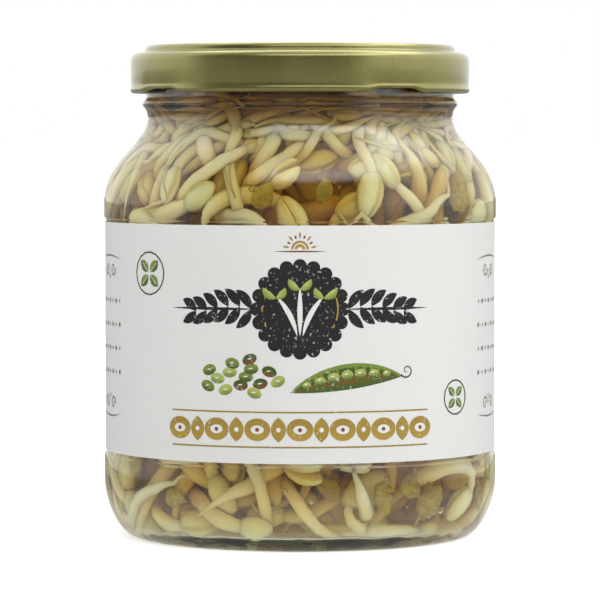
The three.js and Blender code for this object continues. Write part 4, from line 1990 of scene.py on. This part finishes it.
    def build(self) -> Piece:
        """Draws the whole design.

        Returns:
            The finished print.
        """
        pen = Pen(self.radius, self.bottom)
        for side in (-1, 1):
            self.spray(pen, side * 9.5, 30.0, side)
        self.medallion(pen, 0.0, 30.0, 8.4)
        self.sun(pen, 0.0, 41.6)
        self.pod(pen, 9.5, 15.3, 23.0, 0.13)
        self.loose_beans(pen, -12.0, 16.6, 14)
        self.frieze(pen, 6.6, 27.0)
        self.rosette(pen, -33.5, 36.5, 4.2)
        self.rosette(pen, 35.0, 12.0, 3.4)
        for x, side in ((50.0, 1), (-51.0, -1), (82.0, 1), (-82.0, -1)):
            self.side_panel(pen, x, side, 10.0, 37.0)
        for x in (66.0, -66.0, 98.0, -98.0):
            self.border(pen, x)
        art = pen.pile.piece("label_print")
        return finish_piece(art, "jar", PrintFinish().material(), ["label"])


# ---- Studio


@dataclass
class Studio:
    """The floor, the lights and the camera."""

    distance: float = 0.7608
    eye_z: float = 0.0819
    aim_z: float = 0.04785
    lens: float = 224.1
    lamp_aim_z: float = 0.06
    dim_way: Way = (-0.25, -0.87, 0.40)
    dim_edge: Pair = (0.35, 0.68)
    dim: float = 0.08
    bright: float = 1.1
    floor_size: float = 60.0
    floor_seen: float = 0.5
    floor_glow: float = 0.3
    floor_near: float = 0.6
    near_edge: Pair = (0.05, 0.1)
    window: Way = (0.16, -0.62, 0.77)
    window_size: Pair = (0.5, 0.1)
    window_edge: float = 0.07
    window_glow: float = 2.3

    def hang(self, name: str, data: bpy.types.ID, place: Way, aim_z: float) -> Piece:
        """Places a camera or a lamp and turns it towards a height on the jar's axis.

        Args:
            name: Its name.
            data: The camera or lamp.
            place: Where it goes.
            aim_z: The height that it faces.

        Returns:
            The new object.
        """
        thing = bpy.data.objects.new(name, data)
        thing.location = place
        thing.rotation_euler = (Vector((0, 0, aim_z)) - Vector(place)).to_track_quat("-Z", "Y").to_euler()
        bpy.context.scene.collection.objects.link(thing)
        return thing

    def camera(self) -> None:
        """Places the camera at eye level with the jar's neck."""
        data = bpy.data.cameras.new("camera")
        data.lens = self.lens
        data.sensor_width = 36
        data.sensor_fit = "HORIZONTAL"
        data.clip_start = 0.01
        bpy.context.scene.camera = self.hang("camera", data, (0, -self.distance, self.eye_z), self.aim_z)

    def softbox(self, name: str, place: Way, size: Pair, power: float) -> None:
        """Hangs one soft light, aimed at the jar, that glass and metal do not mirror.

        Args:
            name: Its name.
            place: Where it hangs.
            size: Its width and height.
            power: Its power in watts.
        """
        data = bpy.data.lights.new(name, "AREA")
        data.shape = "RECTANGLE"
        data.size, data.size_y = size
        data.energy = power
        lamp = self.hang(name, data, place, self.lamp_aim_z)
        lamp.visible_glossy = lamp.visible_transmission = False

    def rays(self, sheet: Sheet) -> tuple[Socket, Socket]:
        """Tells rays that have met no matt surface, and those of them that have met no mirror either.

        Args:
            sheet: The node sheet.

        Returns:
            Both, as 1 for such a ray and 0 for any other.
        """
        path = sheet.add("ShaderNodeLightPath").outputs
        depths = path["Diffuse Depth"], path["Glossy Depth"]
        first, unmirrored = (sheet.math("LESS_THAN", depth, 0.5) for depth in depths)
        return first, sheet.math("MULTIPLY", first, unmirrored)

    def floor(self) -> None:
        """Lays the pale floor. Mirrored in glass and metal, it glows near the jar and is dark further off."""
        deselect()
        bpy.ops.mesh.primitive_plane_add(size=self.floor_size, location=(0, 0, 0))
        floor = bpy.context.active_object
        floor.name = "floor"
        sheet = Sheet("floor")
        colour = sheet.ramp(sheet.noise(30, 3), (0.3, (0.9, 0.9, 0.9)), (0.7, (0.93, 0.93, 0.93)))
        first, straight = self.rays(sheet)
        mirror = sheet.math("SUBTRACT", first, straight)
        matt = sheet.math("SUBTRACT", 1.0, mirror)
        reach = sheet.add("ShaderNodeVectorMath", {0: sheet.place()}, operation="LENGTH").outputs["Value"]
        near = sheet.fade(reach, self.near_edge, (self.floor_near, 0.0))
        parts = (straight, self.floor_seen - self.floor_glow), (mirror, near), (matt, self.floor_glow)
        inputs = {
            "Base Color": sheet.mix(matt, (0.3, 0.3, 0.3), colour),
            "Roughness": 0.8,
            "Specular IOR Level": 0.1,
            "Emission Color": (1, 1, 1, 1),
            "Emission Strength": sheet.total(*parts),
        }
        floor.data.materials.append(sheet.shade(sheet.add("ShaderNodeBsdfPrincipled", inputs)))

    def world(self) -> None:
        """Makes the surroundings: bright all round, dimmer behind the camera, with one soft window."""
        bpy.context.scene.world = bpy.data.worlds.new("surroundings")
        sheet = Sheet(bpy.context.scene.world)
        where = sheet.add("ShaderNodeTexCoord").outputs["Generated"]
        inputs = {0: where, 1: self.dim_way}
        facing = sheet.add("ShaderNodeVectorMath", inputs, operation="DOT_PRODUCT").outputs["Value"]
        glow = sheet.fade(facing, self.dim_edge, (self.bright, self.dim), "SMOOTHSTEP")
        sides = sheet.add("ShaderNodeSeparateXYZ", {0: where}).outputs
        window: Socket | float = self.window_glow
        for axis, half in zip((0, 2), self.window_size):
            away = sheet.math("ABSOLUTE", sheet.math("SUBTRACT", sides[axis], self.window[axis]))
            limits = (half - self.window_edge, half + self.window_edge)
            window = sheet.math("MULTIPLY", sheet.fade(away, limits, (1.0, 0.0), "SMOOTHSTEP"), window)
        first, straight = self.rays(sheet)
        front = sheet.math("GREATER_THAN", first, sides[1])
        lit = sheet.math("MULTIPLY_ADD", window, front, glow)
        strength = sheet.add("ShaderNodeMix", {0: straight, 2: lit, 3: 1.0}, data_type="FLOAT").outputs[0]
        sheet.shade(sheet.add("ShaderNodeBackground", {"Color": (1, 1, 1, 1), "Strength": strength}))

    def build(self) -> None:
        """Sets up the whole studio."""
        bpy.context.scene.view_settings.view_transform = "Standard"
        self.camera()
        self.floor()
        self.world()
        self.softbox("key", (0.17, -0.62, 0.84), (1.0, 0.26), 3.0)
        self.softbox("fill", (0.0, -1.1, 0.15), (1.0, 0.5), 4.3)
        self.softbox("left", (-0.95, -0.3, 0.2), (0.5, 0.5), 1.3)
        self.softbox("right", (0.95, -0.35, 0.2), (0.5, 0.5), 1.3)


def main() -> None:
    """Builds every piece in order."""
    Studio().build()
    GlassJar().build()
    TwistOffLid().build()
    LidSeal().build()
    Brine().build()
    SproutBunch().build()
    WrapLabel().build()


if __name__ == "__main__":
    main()
